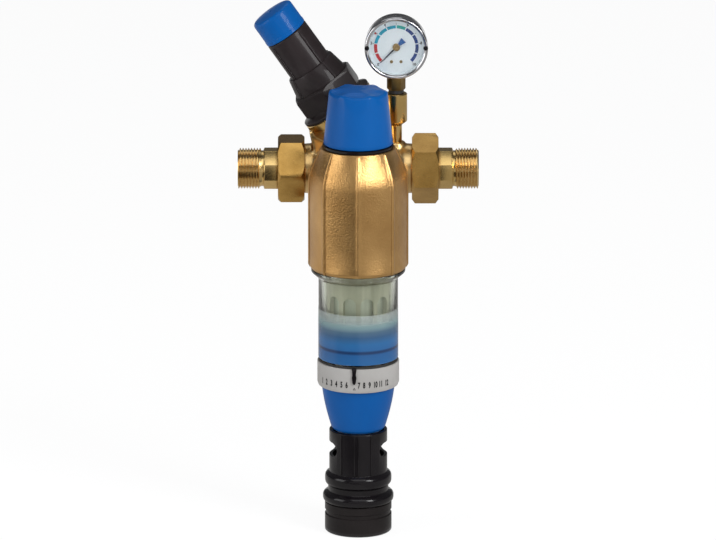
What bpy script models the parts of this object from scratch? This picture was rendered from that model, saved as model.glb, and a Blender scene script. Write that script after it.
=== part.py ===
"""Domestic water station: union pipe run, backwash filter, leaning pressure reducer and gauge.

Metres, +Z up. The origin is the middle of the pipe run, +X runs to the outlet and -Y to the viewer.
The filter stands in front of the pipe run, and the reducer leans over the run towards the inlet.
"""

import math

import bmesh
import bpy
from mathutils import Vector

MM = 0.001

# Clearances between pieces
SEAT_GAP = 0.3 * MM
RUNNING_GAP = 0.4 * MM
CUT_PAST = 1.5 * MM

# Facets round a turned piece
FINE = 28
MEDIUM = 18
COARSE = 10

# Pipe run, along X
RUN_END = 98.5 * MM
THREAD_LENGTH = 18.5 * MM
THREAD_RADIUS = 16.6 * MM
TAIL_BORE = 12.5 * MM
TAIL_FLATS = 32.0 * MM
TAIL_CORNER_RADIUS = 16.9 * MM
TAIL_NECK_RADIUS = 15.8 * MM
COLLAR_RADIUS = 20.1 * MM
COLLAR_LENGTH = 2.4 * MM
GASKET_THICKNESS = 2.0 * MM
BODY_END = 56.0 * MM
BODY_THREAD_RADIUS = 20.0 * MM
NUT_FLATS = 50.0 * MM
NUT_START = 43.9 * MM
NUT_LIP = 4.3 * MM
NUT_CHAMFER = 2.6 * MM
INLET_NUT_TURN = math.radians(0.0)
OUTLET_NUT_TURN = math.radians(19.0)
BODY_RADIUS = 20.5 * MM
BODY_SHOULDER = 37.0 * MM
BELLY_RADIUS = 21.8 * MM
WEB_THICKNESS = 25.0 * MM
WEB_REACH = 37.6 * MM
INLET_CHAMBER_END = 16.0 * MM
OUTLET_CHAMBER_START = 16.0 * MM

# Neck between the pipe run and the filter bell, along Y
FILTER_OFFSET = 58.0 * MM
NECK_RADIUS = 24.0 * MM
NECK_X = -4.0 * MM
NECK_Z = 2.0 * MM
NECK_FACE = 22.0 * MM
NECK_SEAL_THICKNESS = 2.0 * MM
SPIGOT_RADIUS = 19.6 * MM
SPIGOT_LENGTH = 5.0 * MM
PAD_DEPTH = 20.0 * MM
PAD_TRIM_RADIUS = 38.0 * MM
FEED_X = -14.0 * MM
FEED_Z = -7.0 * MM
FEED_RADIUS = 5.5 * MM
RETURN_X = 3.0 * MM
RETURN_Z = 14.0 * MM
RETURN_RADIUS = 5.0 * MM

# Filter bell, about the filter axis
BELL_TOP = 33.0 * MM
BELL_TOP_RADIUS = 30.6 * MM
BELL_SHOULDER = 3.2 * MM
BELL_RADIUS = 40.0 * MM
BELL_CHAMFER_TOP = -65.0 * MM
BELL_BOTTOM = -68.0 * MM
BELL_MOUTH_RADIUS = 38.4 * MM
BELL_RIBS = 8
RIB_WIDTH = 3.5 * MM
RIB_PROUD = 0.9 * MM
RIB_END_GAP = 0.8 * MM
BELL_BORE = 35.2 * MM
BELL_STEP = -39.0 * MM
CHAMBER_RADIUS = 31.0 * MM
CHAMBER_TOP = 0.5 * MM
DOME_RADIUS = 26.0 * MM
DOME_WALL = 8.0 * MM

# Backwash wheel, spindle and rotor, about the filter axis
WHEEL_BOTTOM = 36.1 * MM
WHEEL_HEIGHT = 46.0 * MM
WHEEL_RADIUS = 28.2 * MM
WHEEL_TOP_RADIUS = 23.9 * MM
WHEEL_WALL = 2.4 * MM
WHEEL_EDGE = 4.5 * MM
WHEEL_GRIPS = 6
GRIP_RADIUS = 17.0 * MM
GRIP_DEPTH = 1.5 * MM
GRIP_LEAN = math.radians(14.0)
BASE_RING_RADIUS = 29.0 * MM
SPINDLE_RADIUS = 5.0 * MM
SPINDLE_TOP = 74.0 * MM
SPINDLE_BOTTOM = -136.5 * MM
HUB_WALL = 3.0 * MM
GLAND_RADIUS = 12.0 * MM
GLAND_FLANGE_RADIUS = 14.5 * MM
GLAND_FLANGE = 2.0 * MM
GLAND_LENGTH = 9.0 * MM
GLAND_GROOVE_TOP = 2.4 * MM
GLAND_GROOVE_BOTTOM = 5.0 * MM
ROTOR_TOP = -72.0 * MM
ROTOR_BOTTOM = -126.0 * MM
ROTOR_HUB = 8.5 * MM
ROTOR_ARM = 6.0 * MM
SEAL_WIRE = 1.0 * MM

# Bowl and filter element, about the filter axis
BOWL_RADIUS = 32.4 * MM
BOWL_WALL = 3.2 * MM
BOWL_FLANGE_RADIUS = 38.4 * MM
BOWL_FLANGE_TOP = -68.3 * MM
BOWL_FLANGE_EDGE = -70.4 * MM
BOWL_FLANGE_FOOT = -76.1 * MM
BOWL_NECK_TOP = -41.8 * MM
BOWL_BOTTOM = -144.0 * MM
BOWL_FLOOR = 4.0 * MM
SEAL_HEIGHT = 2.2 * MM
HEAD_FLANGE = 3.2 * MM
HEAD_RADIUS = 27.4 * MM
HEAD_WALL = 2.0 * MM
HEAD_BOTTOM = -103.0 * MM
HEAD_THROAT = 13.0 * MM
CAGE_TOP = -66.0 * MM
CAGE_BOTTOM = -134.0 * MM
CAGE_WALL = 2.2 * MM
CAGE_WINDOWS = 8
CAGE_RIB = 3.6 * MM
CAGE_RING = 5.0 * MM
MESH_WALL = 0.6 * MM
DRAIN_SEAT_RADIUS = 7.0 * MM
DRAIN_PLUG_RADIUS = 10.0 * MM
DRAIN_PLUG_HEIGHT = 4.5 * MM
DRAIN_STEM_RADIUS = 3.0 * MM
DRAIN_STEM_ENTRY = 12.0 * MM
NOZZLE_RADIUS = 15.0 * MM
NOZZLE_WALL = 2.4 * MM
NOZZLE_END = -206.5 * MM

# Month ring and drain, about the filter axis
RING_RADIUS = 33.4 * MM
RING_WALL = 1.7 * MM
RING_TOP = -145.9 * MM
RING_EDGE = -166.0 * MM
RING_BOTTOM = -169.8 * MM
RING_BEAD_Z = -158.0 * MM
RING_BEAD = 2.8 * MM
RING_BEAD_PROUD = 1.2 * MM
POINTER_WIDTH = 4.1 * MM
POINTER_TIP = 2.2 * MM
POINTER_LENGTH = 14.0 * MM
POINTER_THICKNESS = 1.2 * MM
POINTER_TURN = math.radians(-5.6)
CONE_TOP_RADIUS = 29.9 * MM
CONE_SHOULDER = -170.3 * MM
CONE_BOTTOM_RADIUS = 22.2 * MM
CONE_EDGE = -201.7 * MM
CONE_BOTTOM = -204.0 * MM
CONE_WALL = 2.0 * MM
CONE_BULGE = 0.9 * MM
COLLAR_TUBE_RADIUS = 23.7 * MM
COLLAR_TUBE_WALL = 2.6 * MM
COLLAR_TUBE_BOTTOM = -240.0 * MM
BEAD_RADIUS = 27.2 * MM
BEAD_BOTTOM = -251.0 * MM
WINDOW_TOP = -214.1 * MM
WINDOW_BOTTOM = -225.7 * MM
WINDOW_HALF_WIDTH = 16.0 * MM
FRONT_RIBS = (-13.8 * MM, -3.0 * MM, 0.4 * MM, 10.4 * MM)
FRONT_RIB_WIDTH = 1.2 * MM
FRONT_RIB_PROUD = 0.7 * MM
SOCKET_RADIUS = 24.7 * MM
SOCKET_BEAD_RADIUS = 28.9 * MM
SOCKET_BEAD_TOP = -256.7 * MM
SOCKET_BOTTOM = -265.0 * MM
SOCKET_SPIGOT = 7.0 * MM
SOCKET_TAIL = 10.0 * MM
SLEEVE_RADIUS = 27.3 * MM
SLEEVE_WALL = 3.4 * MM
SLEEVE_BOTTOM = -290.0 * MM
SLEEVE_GROOVE_TOP = -271.7 * MM
SLEEVE_GROOVE_BOTTOM = -275.6 * MM
SLEEVE_GROOVE = 0.9 * MM

# Pressure reducer, along its own leaning axis, measured from the rim of its brass branch
REDUCER_LEAN = math.radians(35.0)
REDUCER_FOOT_X = 20.8 * MM
REDUCER_REACH = 65.8 * MM
RIM_RADIUS = 31.0 * MM
RIM_HEIGHT = 9.0 * MM
BRANCH_RADIUS = 27.5 * MM
BRANCH_FOOT_RADIUS = 21.0 * MM
BRANCH_DEPTH = 56.0 * MM
DIAPHRAGM_RADIUS = 27.5 * MM
DIAPHRAGM_THICKNESS = 1.5 * MM
DIAPHRAGM_CHAMBER = 22.0 * MM
DIAPHRAGM_CHAMBER_DEPTH = 12.0 * MM
CARTRIDGE_RADIUS = 14.7 * MM
CARTRIDGE_WAIST = 10.5 * MM
CARTRIDGE_GUIDE = 9.5 * MM
CARTRIDGE_WAIST_END = 44.0 * MM
CARTRIDGE_BOTTOM = 49.7 * MM
SEAT_BORE = 7.5 * MM
OUTLET_CHAMBER_RADIUS = 11.2 * MM
STEM_RADIUS = 4.0 * MM
STEM_DISC_RADIUS = 10.0 * MM
STEM_DISC_LIFT = 2.3 * MM
STEM_DISC_DEPTH = CARTRIDGE_BOTTOM + STEM_DISC_LIFT
STEM_DISC_THICKNESS = 3.0 * MM
OUTLET_CHAMBER_DEPTH = STEM_DISC_DEPTH + STEM_DISC_THICKNESS + 6.0 * MM
PLATE_RADIUS = 13.0 * MM
PLATE_THICKNESS = 2.5 * MM
STEM_NUT_FLATS = 11.0 * MM
STEM_NUT_HEIGHT = 4.0 * MM
BONNET_LIP_HEIGHT = 3.0 * MM
BONNET_THROAT_RADIUS = 27.0 * MM
BONNET_HEX_BOTTOM = 6.0 * MM
BONNET_HEX_TOP = 23.5 * MM
BONNET_HEX_FLATS = 50.5 * MM
BONNET_WAIST_TOP = 39.5 * MM
BONNET_WAIST_FOOT_RADIUS = 24.0 * MM
BONNET_WAIST_RADIUS = 20.8 * MM
BONNET_BARREL_RADIUS = 18.4 * MM
BONNET_TOP = 73.0 * MM
BONNET_BORE = 15.2 * MM
BONNET_ROOF = 9.0 * MM
BONNET_RIBS = 4
BONNET_RIB_WIDTH = 2.0 * MM
BONNET_RIB_PROUD = 0.6 * MM
CAP_RADIUS = 18.5 * MM
CAP_HEIGHT = 22.3 * MM
CAP_WALL = 2.2 * MM
CAP_EDGE = 3.0 * MM
ADJUST_SCREW_RADIUS = 4.0 * MM
SPRING_TOP = 50.5 * MM
SPRING_PLATE_THICKNESS = 3.5 * MM
SPRING_PLATE_PLAY = 4.0 * MM
SPRING_RADIUS = 10.4 * MM
SPRING_WIRE = 1.5 * MM
SPRING_TURNS = 5
SPRING_POINTS_PER_TURN = 9

# Non-return valve in the outlet bore, along X
CHECK_START = 27.5 * MM
CHECK_LENGTH = 14.5 * MM
CHECK_RADIUS = 12.1 * MM
CHECK_SEAT_RADIUS = 8.0 * MM
CHECK_SEAT_LENGTH = 2.5 * MM
CHECK_BORE = 10.3 * MM
CHECK_END_PLATE = 2.0 * MM
CHECK_PORTS = 5
CHECK_PORT_RADIUS = 2.4 * MM
CHECK_PORT_CIRCLE = 6.6 * MM
POPPET_RADIUS = 9.4 * MM
POPPET_THICKNESS = 2.0 * MM
POPPET_STEM_RADIUS = 1.6 * MM
CHECK_SPRING_RADIUS = 3.4 * MM
CHECK_SPRING_WIRE = 0.45 * MM
CHECK_SPRING_TURNS = 3

# Pressure gauge and its riser, the riser along Z and the gauge facing the viewer
GAUGE_X = 31.0 * MM
GAUGE_Z = 104.0 * MM
GAUGE_CASE_RADIUS = 25.2 * MM
GAUGE_CASE_WALL = 1.2 * MM
GAUGE_BACK = 8.0 * MM
GAUGE_CASE_FRONT = 10.0 * MM
BEZEL_RADIUS = GAUGE_CASE_RADIUS + 0.8 * MM
BEZEL_OPENING = GAUGE_CASE_RADIUS - 2.4 * MM
BEZEL_FRONT = 14.0 * MM
BEZEL_FACE = 1.4 * MM
WINDOW_THICKNESS = 1.4 * MM
DIAL_THICKNESS = 0.8 * MM
DIAL_FRONT = 7.0 * MM
NEEDLE_GAP = 1.0 * MM
NEEDLE_THICKNESS = 0.7 * MM
NEEDLE_LENGTH = 18.5 * MM
NEEDLE_TAIL = 8.5 * MM
NEEDLE_TAIL_WIDTH = 5.0 * MM
NEEDLE_WIDTH = 1.2 * MM
NEEDLE_HUB_RADIUS = 3.0 * MM
NEEDLE_ZERO = math.radians(135.0)
ARBOR_RADIUS = 0.9 * MM
MOVEMENT_WIDTH = 13.0 * MM
MOVEMENT_HEIGHT = 15.0 * MM
MOVEMENT_DEPTH = 5.0 * MM
BOURDON_RADIUS = 15.5 * MM
BOURDON_TUBE = 2.2 * MM
RISER_FOOT = 15.5 * MM
RISER_NECK_RADIUS = 4.75 * MM
RISER_SHOULDER = 36.9 * MM
RISER_BODY_START = 40.7 * MM
RISER_RADIUS = 9.0 * MM
RISER_TOP = 63.6 * MM
RISER_BORE = 1.8 * MM
RISER_SOCKET_DEPTH = 9.0 * MM
GAUGE_SEAL_RADIUS = 6.2 * MM
GAUGE_SEAL_HEIGHT = 2.9 * MM
GAUGE_HEX_FLATS = 13.2 * MM
GAUGE_HEX_TOP = GAUGE_Z - GAUGE_CASE_RADIUS - 0.8 * MM
GAUGE_SHANK_RADIUS = 4.8 * MM
GAUGE_SHANK_TOP = 91.5 * MM

for old_object in list(bpy.data.objects):
    bpy.data.objects.remove(old_object)
station = bpy.data.collections.new("domestic_water_station")
cutters = bpy.data.collections.new("cutters")
bpy.context.scene.collection.children.link(station)
bpy.context.scene.collection.children.link(cutters)


def finish(name, colour, roughness, metallic=0.0, alpha=1.0):
    """One Principled material."""
    material = bpy.data.materials.new(name)
    material.use_nodes = True
    shader = material.node_tree.nodes["Principled BSDF"]
    shader.inputs["Base Color"].default_value = (*colour, 1.0)
    shader.inputs["Roughness"].default_value = roughness
    shader.inputs["Metallic"].default_value = metallic
    shader.inputs["Alpha"].default_value = alpha
    material.diffuse_color = (*colour, alpha)
    return material


FINISHES = {
    "brass": ((0.62, 0.45, 0.18), 0.28, 1.0),
    "cast_bronze": ((0.50, 0.33, 0.13), 0.42, 1.0),
    "nut_brass": ((0.42, 0.30, 0.10), 0.38, 1.0),
    "blue_plastic": ((0.005, 0.13, 0.52), 0.35),
    "black_plastic": ((0.02, 0.018, 0.019), 0.45),
    "grey_plastic": ((0.58, 0.55, 0.50), 0.5),
    "white_plastic": ((0.75, 0.76, 0.72), 0.4),
    "clear_plastic": ((0.70, 0.80, 0.78), 0.08, 0.0, 0.35),
    "clear_glass": ((0.90, 0.93, 0.95), 0.03, 0.0, 0.3),
    "rubber": ((0.015, 0.015, 0.015), 0.7),
    "steel": ((0.62, 0.62, 0.63), 0.3, 1.0),
    "chrome": ((0.75, 0.75, 0.77), 0.12, 1.0),
    "dial_white": ((0.90, 0.91, 0.93), 0.5),
}


def axis_frame(name, place, turn=(0.0, 0.0, 0.0)):
    """An empty whose Z is the working axis of a group of pieces."""
    empty = bpy.data.objects.new(name, None)
    empty.location = place
    empty.rotation_euler = turn
    empty.empty_display_size = 10 * MM
    station.objects.link(empty)
    return empty


def new_piece(name, mesh, material, frame):
    """Links a mesh as a piece of the station, or as a hidden cutter where it has no material."""
    piece = bpy.data.objects.new(name, mesh)
    piece.parent = frame
    if material is None:
        cutters.objects.link(piece)
        piece.hide_render = True
        piece.display_type = "WIRE"
    else:
        station.objects.link(piece)
        mesh.materials.append(bpy.data.materials[material])
    return piece


def turned(name, outline, material, frame, steps=FINE):
    """A turned piece: (radius, height) points down the outer side, then up the bore if it has one."""
    mesh = bpy.data.meshes.new(name)
    bm = bmesh.new()
    points = [bm.verts.new((radius, 0.0, height)) for radius, height in outline]
    for start, end in zip(points, points[1:]):
        bm.edges.new((start, end))
    if outline[0][0] > 0 and outline[-1][0] > 0:
        bm.edges.new((points[-1], points[0]))
    bm.to_mesh(mesh)
    bm.free()
    piece = new_piece(name, mesh, material, frame)
    spin = piece.modifiers.new("turn", "SCREW")
    spin.axis = "Z"
    spin.angle = 2 * math.pi
    spin.steps = steps
    spin.render_steps = steps
    spin.use_merge_vertices = True
    spin.merge_threshold = 0.00001
    spin.use_smooth_shade = True
    return piece


def tube(name, outer, inner, top, bottom, material, frame, steps=MEDIUM):
    """A plain ring or sleeve."""
    outline = [(outer, top), (outer, bottom), (inner, bottom), (inner, top)]
    return turned(name, outline, material, frame, steps)


def rod(name, radius, top, bottom, material, frame, steps=COARSE):
    """A plain round bar."""
    outline = [(0.0, top), (radius, top), (radius, bottom), (0.0, bottom)]
    return turned(name, outline, material, frame, steps)


def prism(name, sides, radius, top, bottom, material, frame, turn=0.0):
    """An upright prism with that many sides, its corners at the given radius."""
    mesh = bpy.data.meshes.new(name)
    bm = bmesh.new()
    made = bmesh.ops.create_cone(
        bm, cap_ends=True, segments=sides, radius1=radius, radius2=radius, depth=top - bottom
    )
    bmesh.ops.translate(bm, verts=made["verts"], vec=(0.0, 0.0, (top + bottom) / 2))
    bm.to_mesh(mesh)
    bm.free()
    piece = new_piece(name, mesh, material, frame)
    piece.rotation_euler.z = turn
    return piece


def block(name, size, centre, material, frame, turn=0.0):
    """A box of the given size."""
    mesh = bpy.data.meshes.new(name)
    bm = bmesh.new()
    bmesh.ops.create_cube(bm, size=1.0)
    bmesh.ops.scale(bm, verts=bm.verts, vec=size)
    bmesh.ops.translate(bm, verts=bm.verts, vec=centre)
    bm.to_mesh(mesh)
    bm.free()
    piece = new_piece(name, mesh, material, frame)
    piece.rotation_euler.z = turn
    return piece


def as_mesh(curve_object, material):
    """Turns a curve object into a closed mesh piece that Booleans can use."""
    bpy.context.view_layer.update()
    graph = bpy.context.evaluated_depsgraph_get()
    mesh = bpy.data.meshes.new_from_object(curve_object.evaluated_get(graph))
    bm = bmesh.new()
    bm.from_mesh(mesh)
    bmesh.ops.remove_doubles(bm, verts=bm.verts, dist=0.000001)
    bm.to_mesh(mesh)
    bm.free()
    mesh.materials.clear()
    name = curve_object.name
    frame = curve_object.parent
    turn = curve_object.rotation_euler.copy()
    place = curve_object.location.copy()
    bpy.data.objects.remove(curve_object)
    piece = new_piece(name, mesh, material, frame)
    piece.rotation_euler = turn
    piece.location = place
    return piece


def plate(name, outline, thickness, material, frame, place=(0.0, 0.0, 0.0), turn=(0.0, 0.0, 0.0)):
    """A flat plate cut to an outline of (x, y) points, its middle at the given place."""
    curve = bpy.data.curves.new(name, "CURVE")
    curve.dimensions = "2D"
    curve.fill_mode = "BOTH"
    curve.extrude = thickness / 2
    spline = curve.splines.new("POLY")
    spline.points.add(len(outline) - 1)
    for point, (x, y) in zip(spline.points, outline):
        point.co = (x, y, 0.0, 1.0)
    spline.use_cyclic_u = True
    flat = bpy.data.objects.new(name, curve)
    flat.parent = frame
    flat.location = place
    flat.rotation_euler = turn
    station.objects.link(flat)
    return as_mesh(flat, material)


def bent_tube(name, points, radius, material, frame, resolution=2):
    """A wire or tube along a chain of points."""
    curve = bpy.data.curves.new(name, "CURVE")
    curve.dimensions = "3D"
    curve.bevel_depth = radius
    curve.bevel_resolution = resolution
    curve.use_fill_caps = True
    spline = curve.splines.new("POLY")
    spline.points.add(len(points) - 1)
    for point, place in zip(spline.points, points):
        point.co = (*place, 1.0)
    wire = bpy.data.objects.new(name, curve)
    wire.parent = frame
    station.objects.link(wire)
    return as_mesh(wire, material)


def coil(radius, bottom, top, turns, points_per_turn):
    """Points along a compression spring."""
    count = turns * points_per_turn
    for index in range(count + 1):
        angle = 2 * math.pi * index / points_per_turn
        height = bottom + (top - bottom) * index / count
        yield (radius * math.cos(angle), radius * math.sin(angle), height)


def combine(piece, others, operation):
    for other in others:
        change = piece.modifiers.new(operation.lower(), "BOOLEAN")
        change.operation = operation
        change.object = other
        change.solver = "EXACT"


def join(piece, *others):
    combine(piece, others, "UNION")


def cut(piece, *others):
    combine(piece, others, "DIFFERENCE")


def keep_inside(piece, *others):
    combine(piece, others, "INTERSECT")


def drilling(name, radius, start, end):
    """A straight drilled hole between two points of the station."""
    direction = Vector(end) - Vector(start)
    mesh = bpy.data.meshes.new(name)
    bm = bmesh.new()
    bmesh.ops.create_cone(
        bm, cap_ends=True, segments=COARSE, radius1=radius, radius2=radius, depth=direction.length
    )
    bm.to_mesh(mesh)
    bm.free()
    hole = new_piece(name, mesh, None, None)
    hole.location = (Vector(start) + Vector(end)) / 2
    hole.rotation_euler = direction.to_track_quat("Z", "X").to_euler()
    return hole


def corner_radius(flats, sides=6):
    return flats / 2 / math.cos(math.pi / sides)


for finish_name, values in FINISHES.items():
    finish(finish_name, *values)

outlet_axis = axis_frame("outlet_axis", (0.0, 0.0, 0.0), (0.0, math.radians(90), 0.0))
inlet_axis = axis_frame("inlet_axis", (0.0, 0.0, 0.0), (0.0, math.radians(-90), 0.0))
filter_axis = axis_frame("filter_axis", (0.0, -FILTER_OFFSET, 0.0))
reducer_axis = axis_frame(
    "reducer_axis",
    (
        REDUCER_FOOT_X - REDUCER_REACH * math.sin(REDUCER_LEAN),
        0.0,
        REDUCER_REACH * math.cos(REDUCER_LEAN),
    ),
    (0.0, -REDUCER_LEAN, 0.0),
)
riser_axis = axis_frame("riser_axis", (GAUGE_X, 0.0, 0.0))
gauge_axis = axis_frame("gauge_axis", (GAUGE_X, 0.0, GAUGE_Z), (math.radians(90), 0.0, 0.0))
neck_axis = axis_frame("neck_axis", (NECK_X, 0.0, NECK_Z), (math.radians(90), 0.0, 0.0))


def build_pipe_body():
    """The brass casting that carries everything: pipe run, reducer branch and neck, with its drillings."""
    belly = [
        (0.0, BODY_END),
        (BODY_THREAD_RADIUS, BODY_END),
        (BODY_THREAD_RADIUS, NUT_START),
        (BODY_RADIUS, NUT_START - 0.5 * MM),
        (BODY_RADIUS, BODY_SHOULDER),
    ]
    arc_steps = 5
    for step in range(arc_steps + 1):
        along = math.pi * (0.5 - step / arc_steps)
        bulge = BODY_RADIUS - 1 * MM + (BELLY_RADIUS - BODY_RADIUS + 1 * MM) * math.cos(along)
        belly.append((bulge, 0.93 * BODY_SHOULDER * math.sin(along)))
    belly += [(radius, -height) for radius, height in reversed(belly[:5])]
    body = turned("pipe_body", belly, "brass", outlet_axis, FINE)
    branch = turned(
        "branch_form",
        [
            (0.0, 0.0),
            (RIM_RADIUS, 0.0),
            (RIM_RADIUS, -RIM_HEIGHT),
            (BRANCH_RADIUS, -RIM_HEIGHT - 8 * MM),
            (BRANCH_FOOT_RADIUS, -BRANCH_DEPTH + 6 * MM),
            (BRANCH_FOOT_RADIUS * 0.7, -BRANCH_DEPTH),
            (0.0, -BRANCH_DEPTH),
        ],
        None,
        reducer_axis,
        FINE,
    )
    neck = rod("neck_form", NECK_RADIUS, NECK_FACE + CUT_PAST, 0.0, None, neck_axis, MEDIUM)
    facing = rod(
        "neck_facing", NECK_RADIUS + 1 * MM, NECK_FACE + 14 * MM, NECK_FACE, None, neck_axis, MEDIUM
    )
    spigot = rod(
        "spigot_form", SPIGOT_RADIUS, NECK_FACE + SPIGOT_LENGTH, 1 * MM, None, neck_axis, MEDIUM
    )
    riser_pad = turned(
        "riser_pad_form",
        [
            (0.0, RISER_FOOT + 7.5 * MM),
            (RISER_NECK_RADIUS + 2.6 * MM, RISER_FOOT + 7.5 * MM),
            (RISER_NECK_RADIUS + 6 * MM, RISER_FOOT - 4 * MM),
            (0.0, RISER_FOOT - 4 * MM),
        ],
        None,
        riser_axis,
        COARSE,
    )
    rim_x = reducer_axis.location.x - RIM_RADIUS * math.cos(REDUCER_LEAN)
    rim_z = reducer_axis.location.z - RIM_RADIUS * math.sin(REDUCER_LEAN)
    web = plate(
        "branch_web",
        [
            (rim_x + 2.2 * MM, rim_z - 2.8 * MM),
            (-WEB_REACH, BODY_RADIUS + 1.5 * MM),
            (-WEB_REACH + 1.5 * MM, BODY_RADIUS - 7 * MM),
            (-WEB_REACH + 8 * MM, 2 * MM),
            (-6 * MM, 12 * MM),
            (-10 * MM, rim_z),
        ],
        WEB_THICKNESS,
        None,
        None,
        turn=(math.radians(90), 0.0, 0.0),
    )
    join(body, branch, neck, riser_pad, web)
    cut(body, facing)
    join(body, spigot)
    inlet_bore = rod(
        "inlet_bore", TAIL_BORE, BODY_END + CUT_PAST, INLET_CHAMBER_END, None, inlet_axis, MEDIUM
    )
    outlet_bore = rod(
        "outlet_bore", TAIL_BORE, BODY_END + CUT_PAST, OUTLET_CHAMBER_START, None, outlet_axis, MEDIUM
    )
    cartridge_room = turned(
        "cartridge_room",
        [
            (0.0, CUT_PAST),
            (DIAPHRAGM_RADIUS + SEAT_GAP, CUT_PAST),
            (DIAPHRAGM_RADIUS + SEAT_GAP, -DIAPHRAGM_THICKNESS - SEAT_GAP),
            (DIAPHRAGM_CHAMBER, -DIAPHRAGM_THICKNESS - SEAT_GAP),
            (DIAPHRAGM_CHAMBER, -DIAPHRAGM_CHAMBER_DEPTH),
            (CARTRIDGE_RADIUS + SEAT_GAP, -DIAPHRAGM_CHAMBER_DEPTH),
            (CARTRIDGE_RADIUS + SEAT_GAP, -CARTRIDGE_BOTTOM - SEAT_GAP),
            (OUTLET_CHAMBER_RADIUS, -CARTRIDGE_BOTTOM - SEAT_GAP),
            (OUTLET_CHAMBER_RADIUS, -OUTLET_CHAMBER_DEPTH),
            (0.0, -OUTLET_CHAMBER_DEPTH),
        ],
        None,
        reducer_axis,
        MEDIUM,
    )
    riser_socket = turned(
        "riser_socket",
        [
            (0.0, RISER_SHOULDER),
            (RISER_NECK_RADIUS + SEAT_GAP, RISER_SHOULDER),
            (RISER_NECK_RADIUS + SEAT_GAP, RISER_FOOT - SEAT_GAP),
            (RISER_BORE, RISER_FOOT - SEAT_GAP),
            (RISER_BORE, 5 * MM),
            (0.0, 5 * MM),
        ],
        None,
        riser_axis,
        18,
    )
    cut(body, inlet_bore, outlet_bore, cartridge_room, riser_socket)
    cut(body, *neck_channels("body", -3 * MM))
    return body


def neck_channels(name, start):
    """The two water ways through the neck, feed below and filtered water above."""
    end = -FILTER_OFFSET + 16 * MM
    return (
        drilling(name + "_feed", FEED_RADIUS, (FEED_X, start, FEED_Z), (FEED_X, end, FEED_Z)),
        drilling(name + "_return", RETURN_RADIUS, (RETURN_X, start, RETURN_Z), (RETURN_X, end, RETURN_Z)),
    )


def build_union(side, frame, nut_turn):
    """One union: threaded tail, flat gasket and hexagon nut."""
    gasket_start = BODY_END + SEAT_GAP
    collar_start = gasket_start + GASKET_THICKNESS + SEAT_GAP
    collar_end = collar_start + COLLAR_LENGTH
    lip_start = collar_end + SEAT_GAP
    nut_end = lip_start + NUT_LIP
    thread_start = RUN_END - THREAD_LENGTH
    tube(
        side + "_gasket",
        COLLAR_RADIUS - 0.3 * MM,
        TAIL_BORE + 1 * MM,
        gasket_start + GASKET_THICKNESS,
        gasket_start,
        "rubber",
        frame,
    )
    tail = turned(
        side + "_tail",
        [
            (THREAD_RADIUS - 1.3 * MM, RUN_END),
            (THREAD_RADIUS, RUN_END - 1.3 * MM),
            (THREAD_RADIUS, thread_start + 1.2 * MM),
            (THREAD_RADIUS - 1.4 * MM, thread_start),
            (TAIL_NECK_RADIUS, thread_start - 1 * MM),
            (TAIL_NECK_RADIUS, collar_end),
            (COLLAR_RADIUS, collar_end),
            (COLLAR_RADIUS, collar_start),
            (TAIL_BORE, collar_start),
            (TAIL_BORE, RUN_END),
        ],
        "brass",
        frame,
        MEDIUM,
    )
    flats = prism(
        side + "_tail_flats",
        8,
        corner_radius(TAIL_FLATS, 8),
        thread_start - 2 * MM,
        nut_end + 1 * MM,
        None,
        frame,
        math.pi / 8,
    )
    bore = rod(side + "_tail_bore", TAIL_BORE, RUN_END, collar_start, None, frame, MEDIUM)
    cut(flats, bore)
    join(tail, flats)
    nut = prism(
        side + "_nut", 6, corner_radius(NUT_FLATS), nut_end, NUT_START, "nut_brass", frame, nut_turn
    )
    corners = corner_radius(NUT_FLATS)
    chamfer = turned(
        side + "_nut_chamfer",
        [
            (0.0, nut_end + 1 * MM),
            (corners - NUT_CHAMFER * 1.6, nut_end + 1 * MM),
            (corners + 0.5 * MM, nut_end - NUT_CHAMFER),
            (corners + 0.5 * MM, NUT_START + NUT_CHAMFER),
            (corners - NUT_CHAMFER * 1.6, NUT_START - 1 * MM),
            (0.0, NUT_START - 1 * MM),
        ],
        None,
        frame,
        MEDIUM,
    )
    nut_bore = turned(
        side + "_nut_bore",
        [
            (0.0, nut_end + CUT_PAST),
            (TAIL_NECK_RADIUS + RUNNING_GAP, nut_end + CUT_PAST),
            (TAIL_NECK_RADIUS + RUNNING_GAP, lip_start),
            (COLLAR_RADIUS + RUNNING_GAP, lip_start),
            (COLLAR_RADIUS + RUNNING_GAP, NUT_START - CUT_PAST),
            (0.0, NUT_START - CUT_PAST),
        ],
        None,
        frame,
        MEDIUM,
    )
    keep_inside(nut, chamfer)
    cut(nut, nut_bore)


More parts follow.
